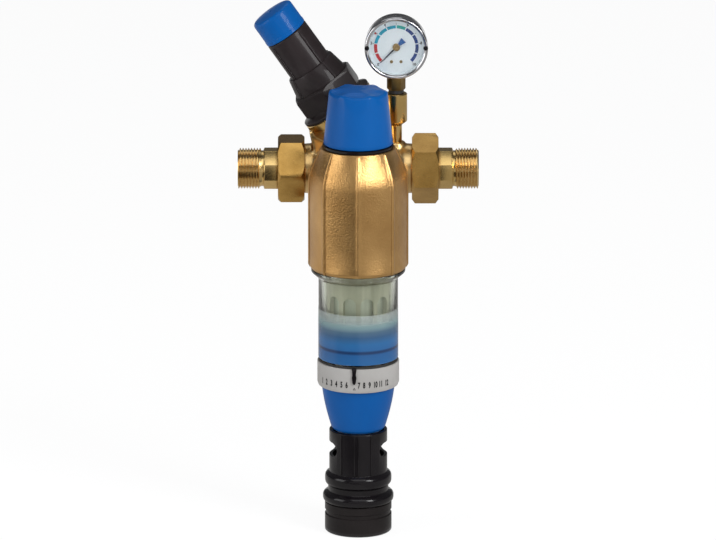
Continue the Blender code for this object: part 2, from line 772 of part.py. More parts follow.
def build_check_valve():
    """The non-return cartridge that sits in the outlet bore, opening towards the outlet."""
    end = CHECK_START + CHECK_LENGTH
    seat_end = CHECK_START + CHECK_SEAT_LENGTH
    plate_start = end - CHECK_END_PLATE
    cartridge = turned(
        "check_cartridge",
        [
            (POPPET_STEM_RADIUS + RUNNING_GAP, end),
            (CHECK_RADIUS, end),
            (CHECK_RADIUS, CHECK_START),
            (CHECK_SEAT_RADIUS, CHECK_START),
            (CHECK_SEAT_RADIUS, seat_end),
            (CHECK_BORE, seat_end),
            (CHECK_BORE, plate_start),
            (POPPET_STEM_RADIUS + RUNNING_GAP, plate_start),
        ],
        "white_plastic",
        outlet_axis,
        MEDIUM,
    )
    for index in range(CHECK_PORTS):
        angle = 2 * math.pi * index / CHECK_PORTS
        port = rod(
            f"check_port_{index + 1}",
            CHECK_PORT_RADIUS,
            end + CUT_PAST,
            plate_start - CUT_PAST,
            None,
            outlet_axis,
            8,
        )
        port.location = (CHECK_PORT_CIRCLE * math.cos(angle), CHECK_PORT_CIRCLE * math.sin(angle), 0.0)
        cut(cartridge, port)
    poppet_start = seat_end + SEAT_GAP
    turned(
        "check_poppet",
        [
            (0.0, end + 1 * MM),
            (POPPET_STEM_RADIUS, end + 1 * MM),
            (POPPET_STEM_RADIUS, poppet_start + POPPET_THICKNESS),
            (POPPET_RADIUS, poppet_start + POPPET_THICKNESS),
            (POPPET_RADIUS, poppet_start),
            (0.0, poppet_start - 1.5 * MM),
        ],
        "white_plastic",
        outlet_axis,
        COARSE,
    )
    wire_gap = CHECK_SPRING_WIRE + SEAT_GAP
    bent_tube(
        "check_spring",
        list(
            coil(
                CHECK_SPRING_RADIUS,
                poppet_start + POPPET_THICKNESS + wire_gap,
                plate_start - wire_gap,
                CHECK_SPRING_TURNS,
                10,
            )
        ),
        CHECK_SPRING_WIRE,
        "steel",
        outlet_axis,
        1,
    )


def build_bell():
    """The ribbed bronze bell, with a pad at its back that meets the neck."""
    shoulder = []
    shoulder_steps = 4
    for step in range(shoulder_steps + 1):
        down = step / shoulder_steps
        height = BELL_TOP - 1.4 * MM + (BELL_SHOULDER - BELL_TOP + 1.4 * MM) * down
        radius = BELL_TOP_RADIUS + (BELL_RADIUS - BELL_TOP_RADIUS) * math.sin(down * math.pi / 2) ** 1.15
        shoulder.append((radius, height))
    outer = [(0.0, BELL_TOP), (BELL_TOP_RADIUS - 0.8 * MM, BELL_TOP)]
    outer += shoulder
    outer += [
        (BELL_RADIUS, BELL_CHAMFER_TOP),
        (BELL_MOUTH_RADIUS, BELL_BOTTOM),
        (0.0, BELL_BOTTOM),
    ]
    bell = turned("filter_bell", outer, "cast_bronze", filter_axis, FINE)
    half = [(radius + RIB_PROUD, height) for radius, height in shoulder]
    half.append((BELL_RADIUS + RIB_PROUD, BELL_CHAMFER_TOP))
    half.append((BELL_MOUTH_RADIUS + RIB_PROUD, BELL_BOTTOM + RIB_END_GAP))
    outline = half + [(-radius, height) for radius, height in reversed(half)]
    for index in range(BELL_RIBS // 2):
        angle = 2 * math.pi * index / BELL_RIBS
        rib = plate(
            f"bell_rib_{index + 1}",
            outline,
            RIB_WIDTH,
            None,
            filter_axis,
            turn=(math.radians(90), 0.0, angle + math.radians(90)),
        )
        join(bell, rib)
    pad_face = NECK_FACE + 2 * SEAT_GAP + NECK_SEAL_THICKNESS
    pad = rod(
        "pad_form", NECK_RADIUS, pad_face + PAD_DEPTH, pad_face - CUT_PAST, None, neck_axis, MEDIUM
    )
    join(bell, pad)
    room = turned(
        "bell_room",
        [
            (0.0, BELL_TOP + CUT_PAST),
            (GLAND_RADIUS + SEAT_GAP, BELL_TOP + CUT_PAST),
            (GLAND_RADIUS + SEAT_GAP, BELL_TOP - GLAND_LENGTH + 1 * MM),
            (DOME_RADIUS - 7 * MM, BELL_TOP - GLAND_LENGTH - 2 * MM),
            (DOME_RADIUS, DOME_WALL),
            (DOME_RADIUS, CHAMBER_TOP),
            (CHAMBER_RADIUS, CHAMBER_TOP),
            (CHAMBER_RADIUS, BELL_STEP),
            (BELL_BORE, BELL_STEP),
            (BELL_BORE, BELL_BOTTOM - CUT_PAST),
            (0.0, BELL_BOTTOM - CUT_PAST),
        ],
        None,
        filter_axis,
        FINE,
    )
    socket = rod(
        "pad_socket",
        SPIGOT_RADIUS + SEAT_GAP,
        NECK_FACE + SPIGOT_LENGTH + SEAT_GAP,
        -NECK_FACE,
        None,
        neck_axis,
        MEDIUM,
    )
    behind = rod(
        "bell_back_trim", PAD_TRIM_RADIUS, pad_face, -BELL_RADIUS, None, neck_axis, MEDIUM
    )
    cut(bell, behind, room, socket)
    cut(bell, *neck_channels("bell", -NECK_FACE))
    tube(
        "neck_seal",
        NECK_RADIUS - 0.4 * MM,
        SPIGOT_RADIUS + SEAT_GAP,
        NECK_FACE + SEAT_GAP + NECK_SEAL_THICKNESS,
        NECK_FACE + SEAT_GAP,
        "rubber",
        neck_axis,
    )


def build_wheel():
    """The blue backwash wheel, the spindle and rotor that it turns, and the gland in the bell's top."""
    top = WHEEL_BOTTOM + WHEEL_HEIGHT
    roof = top - 2.4 * WHEEL_WALL
    outer = [(0.0, top)]
    edge_steps = 4
    edge_centre = WHEEL_TOP_RADIUS - WHEEL_EDGE
    outer.append((edge_centre * 0.55, top - 0.4 * MM))
    for step in range(edge_steps + 1):
        angle = math.pi / 2 * (1 - step / edge_steps)
        outer.append(
            (
                edge_centre + WHEEL_EDGE * math.cos(angle),
                top - 1.4 * MM - WHEEL_EDGE + WHEEL_EDGE * math.sin(angle),
            )
        )
    outer += [
        (WHEEL_RADIUS, WHEEL_BOTTOM),
        (WHEEL_RADIUS - WHEEL_WALL, WHEEL_BOTTOM),
        (WHEEL_TOP_RADIUS - WHEEL_WALL - 1 * MM, roof - 2 * MM),
        (SPINDLE_RADIUS + HUB_WALL, roof),
        (SPINDLE_RADIUS + HUB_WALL, WHEEL_BOTTOM + 8 * MM),
        (SPINDLE_RADIUS + SEAT_GAP, WHEEL_BOTTOM + 8 * MM),
        (SPINDLE_RADIUS + SEAT_GAP, SPINDLE_TOP + SEAT_GAP),
        (0.0, SPINDLE_TOP + SEAT_GAP),
    ]
    wheel = turned("handwheel", outer, "blue_plastic", filter_axis, FINE)
    for index in range(WHEEL_GRIPS):
        angle = math.radians(-90) + 2 * math.pi * index / WHEEL_GRIPS
        grip = rod(f"grip_{index + 1}", GRIP_RADIUS, 24 * MM, -24 * MM, None, filter_axis, MEDIUM)
        reach = WHEEL_TOP_RADIUS + GRIP_RADIUS - GRIP_DEPTH
        grip.location = (reach * math.cos(angle), reach * math.sin(angle), top)
        grip.rotation_euler = (0.0, -GRIP_LEAN, angle)
        cut(wheel, grip)
    tube(
        "wheel_base_ring",
        BASE_RING_RADIUS,
        GLAND_FLANGE_RADIUS + SEAT_GAP,
        WHEEL_BOTTOM - RUNNING_GAP,
        BELL_TOP + SEAT_GAP,
        "black_plastic",
        filter_axis,
        FINE,
    )
    turned(
        "spindle",
        [
            (0.0, SPINDLE_TOP),
            (SPINDLE_RADIUS, SPINDLE_TOP),
            (SPINDLE_RADIUS, SPINDLE_BOTTOM),
            (DRAIN_STEM_RADIUS + RUNNING_GAP, SPINDLE_BOTTOM),
            (DRAIN_STEM_RADIUS + RUNNING_GAP, SPINDLE_BOTTOM + DRAIN_STEM_ENTRY + 1 * MM),
            (0.0, SPINDLE_BOTTOM + DRAIN_STEM_ENTRY + 1 * MM),
        ],
        "brass",
        filter_axis,
        COARSE,
    )
    bore = SPINDLE_RADIUS + RUNNING_GAP
    groove = bore + 2 * SEAL_WIRE + 0.1 * MM
    turned(
        "gland_bush",
        [
            (bore, BELL_TOP + GLAND_FLANGE + SEAT_GAP),
            (GLAND_FLANGE_RADIUS, BELL_TOP + GLAND_FLANGE + SEAT_GAP),
            (GLAND_FLANGE_RADIUS, BELL_TOP + SEAT_GAP),
            (GLAND_RADIUS, BELL_TOP + SEAT_GAP),
            (GLAND_RADIUS, BELL_TOP - GLAND_LENGTH),
            (bore, BELL_TOP - GLAND_LENGTH),
            (bore, BELL_TOP - GLAND_GROOVE_BOTTOM),
            (groove, BELL_TOP - GLAND_GROOVE_BOTTOM),
            (groove, BELL_TOP - GLAND_GROOVE_TOP),
            (bore, BELL_TOP - GLAND_GROOVE_TOP),
        ],
        "brass",
        filter_axis,
        MEDIUM,
    )
    ring = []
    for step in range(6):
        angle = -2 * math.pi * step / 6
        ring.append(
            (
                bore + SEAL_WIRE + SEAL_WIRE * math.cos(angle),
                BELL_TOP - (GLAND_GROOVE_TOP + GLAND_GROOVE_BOTTOM) / 2 + SEAL_WIRE * math.sin(angle),
            )
        )
    turned("spindle_seal", ring, "rubber", filter_axis, MEDIUM)
    rotor = tube(
        "suction_rotor",
        ROTOR_HUB,
        SPINDLE_RADIUS + SEAT_GAP,
        ROTOR_TOP,
        ROTOR_BOTTOM,
        "white_plastic",
        filter_axis,
        COARSE,
    )
    reach = mesh_inner_radius() - 2 * RUNNING_GAP
    inner = SPINDLE_RADIUS + 1.5 * MM
    for index in range(2):
        side = 1 - 2 * index
        arm = block(
            f"rotor_arm_{index + 1}",
            (reach - inner, ROTOR_ARM, ROTOR_TOP - ROTOR_BOTTOM - 6 * MM),
            (side * (reach + inner) / 2, 0.0, (ROTOR_TOP + ROTOR_BOTTOM) / 2),
            None,
            filter_axis,
        )
        join(rotor, arm)


def cage_radius():
    return HEAD_RADIUS - HEAD_WALL - SEAT_GAP


def mesh_inner_radius():
    return cage_radius() - CAGE_WALL - SEAT_GAP - MESH_WALL


def build_filter_element():
    """The cage head, the windowed cage and the mesh sleeve that stand in the bowl."""
    flange_top = CHAMBER_TOP - SEAT_GAP
    turned(
        "cage_head",
        [
            (HEAD_THROAT, flange_top),
            (CHAMBER_RADIUS - SEAT_GAP, flange_top),
            (CHAMBER_RADIUS - SEAT_GAP, flange_top - HEAD_FLANGE),
            (HEAD_RADIUS, flange_top - HEAD_FLANGE - 3 * MM),
            (HEAD_RADIUS, HEAD_BOTTOM),
            (HEAD_RADIUS - HEAD_WALL, HEAD_BOTTOM),
            (HEAD_RADIUS - HEAD_WALL, CAGE_TOP + SEAT_GAP),
            (HEAD_THROAT, CAGE_TOP + 12 * MM),
        ],
        "white_plastic",
        filter_axis,
        MEDIUM,
    )
    radius = cage_radius()
    floor = CAGE_BOTTOM + CAGE_WALL
    cage = turned(
        "filter_cage",
        [
            (radius, CAGE_TOP),
            (radius, CAGE_BOTTOM),
            (ROTOR_HUB + 1 * MM, CAGE_BOTTOM),
            (ROTOR_HUB + 1 * MM, floor),
            (radius - CAGE_WALL, floor),
            (radius - CAGE_WALL, CAGE_TOP),
        ],
        "white_plastic",
        filter_axis,
        MEDIUM,
    )
    pitch = 2 * math.pi * radius / CAGE_WINDOWS
    half = (pitch - CAGE_RIB) / 2
    top = CAGE_TOP - CAGE_RING
    bottom = CAGE_BOTTOM + CAGE_RING
    arch = [(half * math.cos(a), top - half + half * math.sin(a)) for a in (0.0, 0.8, 1.57, 2.34, math.pi)]
    outline = arch + [(-half, bottom), (half, bottom)]
    for index in range(CAGE_WINDOWS // 2):
        angle = math.pi * index / (CAGE_WINDOWS // 2) + math.pi / CAGE_WINDOWS
        window = plate(
            f"cage_window_{index + 1}",
            outline,
            2.4 * radius,
            None,
            filter_axis,
            turn=(math.radians(90), 0.0, angle),
        )
        cut(cage, window)
    tube(
        "filter_mesh",
        radius - CAGE_WALL - SEAT_GAP,
        mesh_inner_radius(),
        CAGE_TOP,
        floor + SEAT_GAP,
        "steel",
        filter_axis,
        MEDIUM,
    )


def build_bowl():
    """The clear bowl with its flange under the bell, its drain nozzle, the seal above it and the drain plug."""
    inner = BOWL_RADIUS - BOWL_WALL
    neck = BELL_BORE - RUNNING_GAP
    nozzle_bore = NOZZLE_RADIUS - NOZZLE_WALL
    floor = BOWL_BOTTOM + BOWL_FLOOR
    turned(
        "bowl",
        [
            (inner, BOWL_NECK_TOP),
            (neck, BOWL_NECK_TOP),
            (neck, BOWL_FLANGE_TOP),
            (BOWL_FLANGE_RADIUS, BOWL_FLANGE_TOP),
            (BOWL_FLANGE_RADIUS, BOWL_FLANGE_EDGE),
            (BOWL_RADIUS + 0.6 * MM, BOWL_FLANGE_FOOT + 0.8 * MM),
            (BOWL_RADIUS, BOWL_FLANGE_FOOT - 1 * MM),
            (BOWL_RADIUS, BOWL_BOTTOM),
            (NOZZLE_RADIUS, BOWL_BOTTOM),
            (NOZZLE_RADIUS, NOZZLE_END),
            (nozzle_bore, NOZZLE_END),
            (nozzle_bore, BOWL_BOTTOM - 0.5 * MM),
            (DRAIN_SEAT_RADIUS, BOWL_BOTTOM - 0.5 * MM),
            (DRAIN_SEAT_RADIUS, floor),
            (inner - 2 * MM, floor),
            (inner, floor + 2 * MM),
        ],
        "clear_plastic",
        filter_axis,
        FINE,
    )
    tube(
        "bowl_seal",
        neck,
        CHAMBER_RADIUS + 0.4 * MM,
        BELL_STEP - SEAT_GAP,
        BOWL_NECK_TOP + SEAT_GAP,
        "rubber",
        filter_axis,
    )
    plug_top = BOWL_BOTTOM - 0.5 * MM - SEAT_GAP
    turned(
        "drain_valve",
        [
            (0.0, SPINDLE_BOTTOM + DRAIN_STEM_ENTRY),
            (DRAIN_STEM_RADIUS, SPINDLE_BOTTOM + DRAIN_STEM_ENTRY),
            (DRAIN_STEM_RADIUS, plug_top),
            (DRAIN_PLUG_RADIUS, plug_top),
            (DRAIN_PLUG_RADIUS, plug_top - DRAIN_PLUG_HEIGHT + 1.5 * MM),
            (DRAIN_PLUG_RADIUS * 0.6, plug_top - DRAIN_PLUG_HEIGHT),
            (0.0, plug_top - DRAIN_PLUG_HEIGHT),
        ],
        "black_plastic",
        filter_axis,
        COARSE,
    )


def build_month_ring():
    """The grey ring of months, snapped on the blue funnel, and the black rider that marks one."""
    inner = RING_RADIUS - RING_WALL
    bead = inner - RING_BEAD_PROUD
    turned(
        "memory_ring",
        [
            (inner, RING_TOP),
            (RING_RADIUS, RING_TOP),
            (RING_RADIUS, RING_EDGE),
            (RING_RADIUS - 1.2 * MM, RING_BOTTOM),
            (inner, RING_BOTTOM),
            (inner, RING_BEAD_Z - RING_BEAD / 2),
            (bead, RING_BEAD_Z - RING_BEAD / 2 + 0.7 * MM),
            (bead, RING_BEAD_Z + RING_BEAD / 2 - 0.7 * MM),
            (inner, RING_BEAD_Z + RING_BEAD / 2),
        ],
        "grey_plastic",
        filter_axis,
        FINE,
    )
    hook_top = BOWL_BOTTOM - RUNNING_GAP
    hook_bottom = RING_TOP + SEAT_GAP
    face = RING_RADIUS + SEAT_GAP
    hook_inner = RING_RADIUS - RING_WALL + 0.3 * MM
    reach = face + POINTER_THICKNESS / 2
    half_top = POINTER_WIDTH / 2
    half_tip = POINTER_TIP / 2
    waist = hook_top - 0.55 * POINTER_LENGTH
    pointer = plate(
        "ring_pointer",
        [
            (-half_top, hook_top),
            (-half_top, waist),
            (-half_tip, hook_top - POINTER_LENGTH + 1 * MM),
            (0.0, hook_top - POINTER_LENGTH),
            (half_tip, hook_top - POINTER_LENGTH + 1 * MM),
            (half_top, waist),
            (half_top, hook_top),
        ],
        POINTER_THICKNESS,
        "black_plastic",
        filter_axis,
        (reach * math.sin(POINTER_TURN), -reach * math.cos(POINTER_TURN), 0.0),
        (math.radians(90), 0.0, POINTER_TURN),
    )
    hook_outer = reach
    hook = block(
        "pointer_hook",
        (POINTER_WIDTH - 0.4 * MM, hook_outer - hook_inner, hook_top - hook_bottom - 0.05 * MM),
        (0.0, -(hook_outer + hook_inner) / 2, (hook_top + hook_bottom) / 2),
        None,
        filter_axis,
        POINTER_TURN,
    )
    join(pointer, hook)


def build_drain():
    """The blue funnel and the three black pieces of the drain connection."""
    ring_seat = RING_RADIUS - RING_WALL - RUNNING_GAP
    groove = ring_seat - RING_BEAD_PROUD
    groove_half = RING_BEAD / 2 + RUNNING_GAP
    top = BOWL_BOTTOM - SEAT_GAP
    cone = [
        (ring_seat, top),
        (ring_seat, RING_BEAD_Z + groove_half),
        (groove, RING_BEAD_Z + groove_half),
        (groove, RING_BEAD_Z - groove_half),
        (ring_seat, RING_BEAD_Z - groove_half),
        (ring_seat, CONE_SHOULDER + 2 * MM),
    ]
    cone_steps = 4
    for step in range(cone_steps + 1):
        down = step / cone_steps
        radius = CONE_TOP_RADIUS + (CONE_BOTTOM_RADIUS - CONE_TOP_RADIUS) * down
        radius += CONE_BULGE * math.sin(math.pi * down)
        cone.append((radius, CONE_SHOULDER + (CONE_EDGE - CONE_SHOULDER) * down))
    cone += [
        (CONE_BOTTOM_RADIUS - 1.6 * MM, CONE_BOTTOM),
        (NOZZLE_RADIUS + SEAT_GAP, CONE_BOTTOM),
        (NOZZLE_RADIUS + SEAT_GAP, CONE_BOTTOM + 3 * MM),
        (CONE_BOTTOM_RADIUS - CONE_WALL - 1 * MM, CONE_BOTTOM + 4 * MM),
        (CONE_TOP_RADIUS - CONE_WALL, CONE_SHOULDER),
        (groove - 1.4 * MM, CONE_SHOULDER + 4 * MM),
        (groove - 1.4 * MM, top),
    ]
    turned("drain_cone", cone, "blue_plastic", filter_axis, FINE)

    bore = COLLAR_TUBE_RADIUS - COLLAR_TUBE_WALL
    collar_top = CONE_BOTTOM - SEAT_GAP
    collar = turned(
        "air_gap_collar",
        [
            (COLLAR_TUBE_RADIUS, collar_top),
            (COLLAR_TUBE_RADIUS, COLLAR_TUBE_BOTTOM),
            (BEAD_RADIUS - 1.2 * MM, COLLAR_TUBE_BOTTOM - 1 * MM),
            (BEAD_RADIUS, COLLAR_TUBE_BOTTOM - 3 * MM),
            (BEAD_RADIUS, BEAD_BOTTOM + 2.6 * MM),
            (BEAD_RADIUS - 1.2 * MM, BEAD_BOTTOM + 0.8 * MM),
            (SOCKET_RADIUS, BEAD_BOTTOM),
            (bore, BEAD_BOTTOM),
            (bore, collar_top),
        ],
        "black_plastic",
        filter_axis,
        FINE,
    )
    for x in FRONT_RIBS:
        depth = 2 * math.sqrt((COLLAR_TUBE_RADIUS + FRONT_RIB_PROUD) ** 2 - x**2)
        rib = block(
            "collar_rib",
            (FRONT_RIB_WIDTH, depth, collar_top - COLLAR_TUBE_BOTTOM - 1 * MM),
            (x, 0.0, (collar_top + COLLAR_TUBE_BOTTOM) / 2),
            None,
            filter_axis,
        )
        join(collar, rib)
    clear = rod(
        "collar_bore", bore, collar_top + CUT_PAST, BEAD_BOTTOM - CUT_PAST, None, filter_axis, FINE
    )
    round_end = (WINDOW_TOP - WINDOW_BOTTOM) / 2
    middle = (WINDOW_TOP + WINDOW_BOTTOM) / 2
    slot = []
    for side in (1, -1):
        for step in range(6):
            angle = math.pi / 2 - math.pi * step / 5
            slot.append(
                (
                    side * (WINDOW_HALF_WIDTH - round_end + round_end * math.cos(angle)),
                    middle + side * round_end * math.sin(angle),
                )
            )
    window = plate(
        "air_gap_window",
        slot,
        3 * COLLAR_TUBE_RADIUS,
        None,
        filter_axis,
        turn=(math.radians(90), 0.0, math.radians(90)),
    )
    cut(collar, clear, window)

    socket_bore = bore - 3.2 * MM
    tail_radius = SLEEVE_RADIUS - SLEEVE_WALL - SEAT_GAP
    socket_top = BEAD_BOTTOM - SEAT_GAP
    turned(
        "drain_socket",
        [
            (socket_bore, BEAD_BOTTOM + SOCKET_SPIGOT),
            (bore - SEAT_GAP, BEAD_BOTTOM + SOCKET_SPIGOT),
            (bore - SEAT_GAP, socket_top),
            (SOCKET_RADIUS, socket_top),
            (SOCKET_RADIUS, SOCKET_BEAD_TOP),
            (SOCKET_BEAD_RADIUS - 1.4 * MM, SOCKET_BEAD_TOP - 0.8 * MM),
            (SOCKET_BEAD_RADIUS, SOCKET_BEAD_TOP - 2.6 * MM),
            (SOCKET_BEAD_RADIUS, SOCKET_BOTTOM + 2.6 * MM),
            (SOCKET_BEAD_RADIUS - 1.4 * MM, SOCKET_BOTTOM),
            (tail_radius, SOCKET_BOTTOM),
            (tail_radius, SOCKET_BOTTOM - SOCKET_TAIL),
            (socket_bore, SOCKET_BOTTOM - SOCKET_TAIL),
        ],
        "black_plastic",
        filter_axis,
        FINE,
    )
    sleeve_top = SOCKET_BOTTOM - SEAT_GAP
    turned(
        "drain_sleeve",
        [
            (SLEEVE_RADIUS - SLEEVE_WALL, sleeve_top),
            (SLEEVE_RADIUS, sleeve_top),
            (SLEEVE_RADIUS, SLEEVE_GROOVE_TOP),
            (SLEEVE_RADIUS - SLEEVE_GROOVE, SLEEVE_GROOVE_TOP - 0.7 * MM),
            (SLEEVE_RADIUS - SLEEVE_GROOVE, SLEEVE_GROOVE_BOTTOM + 0.7 * MM),
            (SLEEVE_RADIUS, SLEEVE_GROOVE_BOTTOM),
            (SLEEVE_RADIUS, SLEEVE_BOTTOM + 1 * MM),
            (SLEEVE_RADIUS - 1 * MM, SLEEVE_BOTTOM),
            (SLEEVE_RADIUS - SLEEVE_WALL, SLEEVE_BOTTOM),
        ],
        "black_plastic",
        filter_axis,
        FINE,
    )


def build_reducer():
    """The black spring housing with its blue cap, and the spring, diaphragm, stem and cartridge inside."""
    lip_bottom = SEAT_GAP
    roof = BONNET_TOP - BONNET_ROOF
    bonnet = turned(
        "bonnet",
        [
            (0.0, BONNET_TOP),
            (BONNET_BARREL_RADIUS - 1.2 * MM, BONNET_TOP),
            (BONNET_BARREL_RADIUS, BONNET_TOP - 1.2 * MM),
            (BONNET_BARREL_RADIUS, BONNET_WAIST_TOP),
            (BONNET_WAIST_RADIUS, BONNET_WAIST_TOP),
            (BONNET_WAIST_FOOT_RADIUS, BONNET_HEX_TOP),
            (BONNET_THROAT_RADIUS - 3 * MM, BONNET_HEX_BOTTOM + 1 * MM),
            (BONNET_THROAT_RADIUS, BONNET_LIP_HEIGHT + 1 * MM),
            (RIM_RADIUS, BONNET_LIP_HEIGHT),
            (RIM_RADIUS, lip_bottom),
            (0.0, lip_bottom),
        ],
        "black_plastic",
        reducer_axis,
        FINE,
    )
    corners = corner_radius(BONNET_HEX_FLATS)
    hexagon = prism("bonnet_hex", 6, corners, BONNET_HEX_TOP, BONNET_HEX_BOTTOM, None, reducer_axis)
    trim = turned(
        "bonnet_hex_trim",
        [
            (0.0, BONNET_HEX_TOP + 1 * MM),
            (corners - 4 * MM, BONNET_HEX_TOP + 1 * MM),
            (corners + 1 * MM, BONNET_HEX_TOP - 3 * MM),
            (corners + 1 * MM, BONNET_HEX_BOTTOM + 3 * MM),
            (corners - 3 * MM, BONNET_HEX_BOTTOM - 1 * MM),
            (0.0, BONNET_HEX_BOTTOM - 1 * MM),
        ],
        None,
        reducer_axis,
        MEDIUM,
    )
    keep_inside(hexagon, trim)
    join(bonnet, hexagon)
    rib_top = BONNET_TOP - 3 * MM
    rib_bottom = BONNET_HEX_TOP + 4 * MM
    for index in range(BONNET_RIBS // 2):
        rib = block(
            f"bonnet_rib_{index + 1}",
            (2 * (BONNET_BARREL_RADIUS + BONNET_RIB_PROUD), BONNET_RIB_WIDTH, rib_top - rib_bottom),
            (0.0, 0.0, (rib_top + rib_bottom) / 2),
            None,
            reducer_axis,
            math.radians(-72) + math.pi * index / (BONNET_RIBS // 2),
        )
        join(bonnet, rib)
    room = turned(
        "bonnet_room",
        [
            (0.0, BONNET_TOP + CUT_PAST),
            (ADJUST_SCREW_RADIUS + RUNNING_GAP, BONNET_TOP + CUT_PAST),
            (ADJUST_SCREW_RADIUS + RUNNING_GAP, roof),
            (BONNET_BORE, roof - 2 * MM),
            (BONNET_BORE, 12 * MM),
            (DIAPHRAGM_CHAMBER, 6 * MM),
            (DIAPHRAGM_CHAMBER, -CUT_PAST),
            (0.0, -CUT_PAST),
        ],
        None,
        reducer_axis,
        MEDIUM,
    )
    cut(bonnet, room)

    cap_bottom = BONNET_TOP + SEAT_GAP
    cap_top = cap_bottom + CAP_HEIGHT
    hub = ADJUST_SCREW_RADIUS + 2.4 * MM
    screw_top = cap_top - 5 * MM
    turned(
        "adjusting_cap",
        [
            (0.0, cap_top),
            (CAP_RADIUS * 0.55, cap_top - 0.4 * MM),
            (CAP_RADIUS - CAP_EDGE, cap_top - 1 * MM),
            (CAP_RADIUS - 0.3 * CAP_EDGE, cap_top - 1 * MM - 0.3 * CAP_EDGE),
            (CAP_RADIUS, cap_top - 1 * MM - CAP_EDGE),
            (CAP_RADIUS, cap_bottom),
            (CAP_RADIUS - CAP_WALL, cap_bottom),
            (CAP_RADIUS - CAP_WALL, cap_top - 4 * MM),
            (hub, cap_top - 3.4 * MM),
            (hub, cap_bottom + 4 * MM),
            (ADJUST_SCREW_RADIUS + SEAT_GAP, cap_bottom + 4 * MM),
            (ADJUST_SCREW_RADIUS + SEAT_GAP, screw_top + SEAT_GAP),
            (0.0, screw_top + SEAT_GAP),
        ],
        "blue_plastic",
        reducer_axis,
        FINE,
    )
    plate_bottom = SPRING_TOP
    plate_top = plate_bottom + SPRING_PLATE_THICKNESS
    rod(
        "adjusting_screw",
        ADJUST_SCREW_RADIUS,
        screw_top,
        plate_bottom - SPRING_PLATE_PLAY,
        "brass",
        reducer_axis,
    )
    plate_bore = ADJUST_SCREW_RADIUS + SEAT_GAP
    turned(
        "spring_plate",
        [
            (plate_bore, plate_top),
            (ADJUST_SCREW_RADIUS + 2.5 * MM, plate_top),
            (PLATE_RADIUS, plate_bottom + 2 * MM),
            (PLATE_RADIUS, plate_bottom),
            (plate_bore, plate_bottom),
        ],
        "steel",
        reducer_axis,
        COARSE,
    )
    diaphragm_top = -SEAT_GAP
    plate_foot = diaphragm_top + SEAT_GAP
    tube(
        "diaphragm",
        DIAPHRAGM_RADIUS,
        STEM_RADIUS + SEAT_GAP,
        diaphragm_top,
        diaphragm_top - DIAPHRAGM_THICKNESS + SEAT_GAP,
        "rubber",
        reducer_axis,
    )
    washer_top = plate_foot + PLATE_THICKNESS
    tube(
        "diaphragm_plate",
        PLATE_RADIUS,
        STEM_RADIUS + SEAT_GAP,
        washer_top,
        plate_foot,
        "brass",
        reducer_axis,
    )
    nut_bottom = washer_top + SEAT_GAP
    nut = prism(
        "stem_nut",
        6,
        corner_radius(STEM_NUT_FLATS),
        nut_bottom + STEM_NUT_HEIGHT,
        nut_bottom,
        "steel",
        reducer_axis,
    )
    nut_bore = rod(
        "stem_nut_bore",
        STEM_RADIUS + SEAT_GAP,
        nut_bottom + STEM_NUT_HEIGHT + CUT_PAST,
        nut_bottom - CUT_PAST,
        None,
        reducer_axis,
    )
    cut(nut, nut_bore)
    wire_gap = SPRING_WIRE + SEAT_GAP
    bent_tube(
        "main_spring",
        list(
            coil(
                SPRING_RADIUS,
                washer_top + wire_gap,
                plate_bottom - wire_gap,
                SPRING_TURNS,
                SPRING_POINTS_PER_TURN,
            )
        ),
        SPRING_WIRE,
        "steel",
        reducer_axis,
        1,
    )
    turned(
        "reducer_stem",
        [
            (0.0, nut_bottom + STEM_NUT_HEIGHT + 1 * MM),
            (STEM_RADIUS, nut_bottom + STEM_NUT_HEIGHT + 1 * MM),
            (STEM_RADIUS, -STEM_DISC_DEPTH),
            (STEM_DISC_RADIUS, -STEM_DISC_DEPTH),
            (STEM_DISC_RADIUS, -STEM_DISC_DEPTH - STEM_DISC_THICKNESS),
            (0.0, -STEM_DISC_DEPTH - STEM_DISC_THICKNESS - 1 * MM),
        ],
        "brass",
        reducer_axis,
        COARSE,
    )
    head_top = -DIAPHRAGM_CHAMBER_DEPTH - SEAT_GAP
    guide_bottom = head_top - CARTRIDGE_GUIDE
    bore = STEM_RADIUS + RUNNING_GAP
    cartridge = turned(
        "reducer_cartridge",
        [
            (bore, head_top),
            (CARTRIDGE_RADIUS, head_top),
            (CARTRIDGE_RADIUS, guide_bottom),
            (CARTRIDGE_WAIST, guide_bottom),
            (CARTRIDGE_WAIST, -CARTRIDGE_WAIST_END),
            (CARTRIDGE_RADIUS, -CARTRIDGE_WAIST_END),
            (CARTRIDGE_RADIUS, -CARTRIDGE_BOTTOM),
            (SEAT_BORE, -CARTRIDGE_BOTTOM),
            (SEAT_BORE, guide_bottom),
            (bore, guide_bottom + 2 * MM),
        ],
        "black_plastic",
        reducer_axis,
        MEDIUM,
    )
    port_height = CARTRIDGE_WAIST_END + guide_bottom - 5 * MM
    port_middle = (guide_bottom - CARTRIDGE_WAIST_END) / 2
    for index in range(2):
        port = block(
            f"cartridge_port_{index + 1}",
            (3 * CARTRIDGE_WAIST, SEAT_BORE, port_height),
            (0.0, 0.0, port_middle),
            None,
            reducer_axis,
            math.pi / 2 * index,
        )
        cut(cartridge, port)


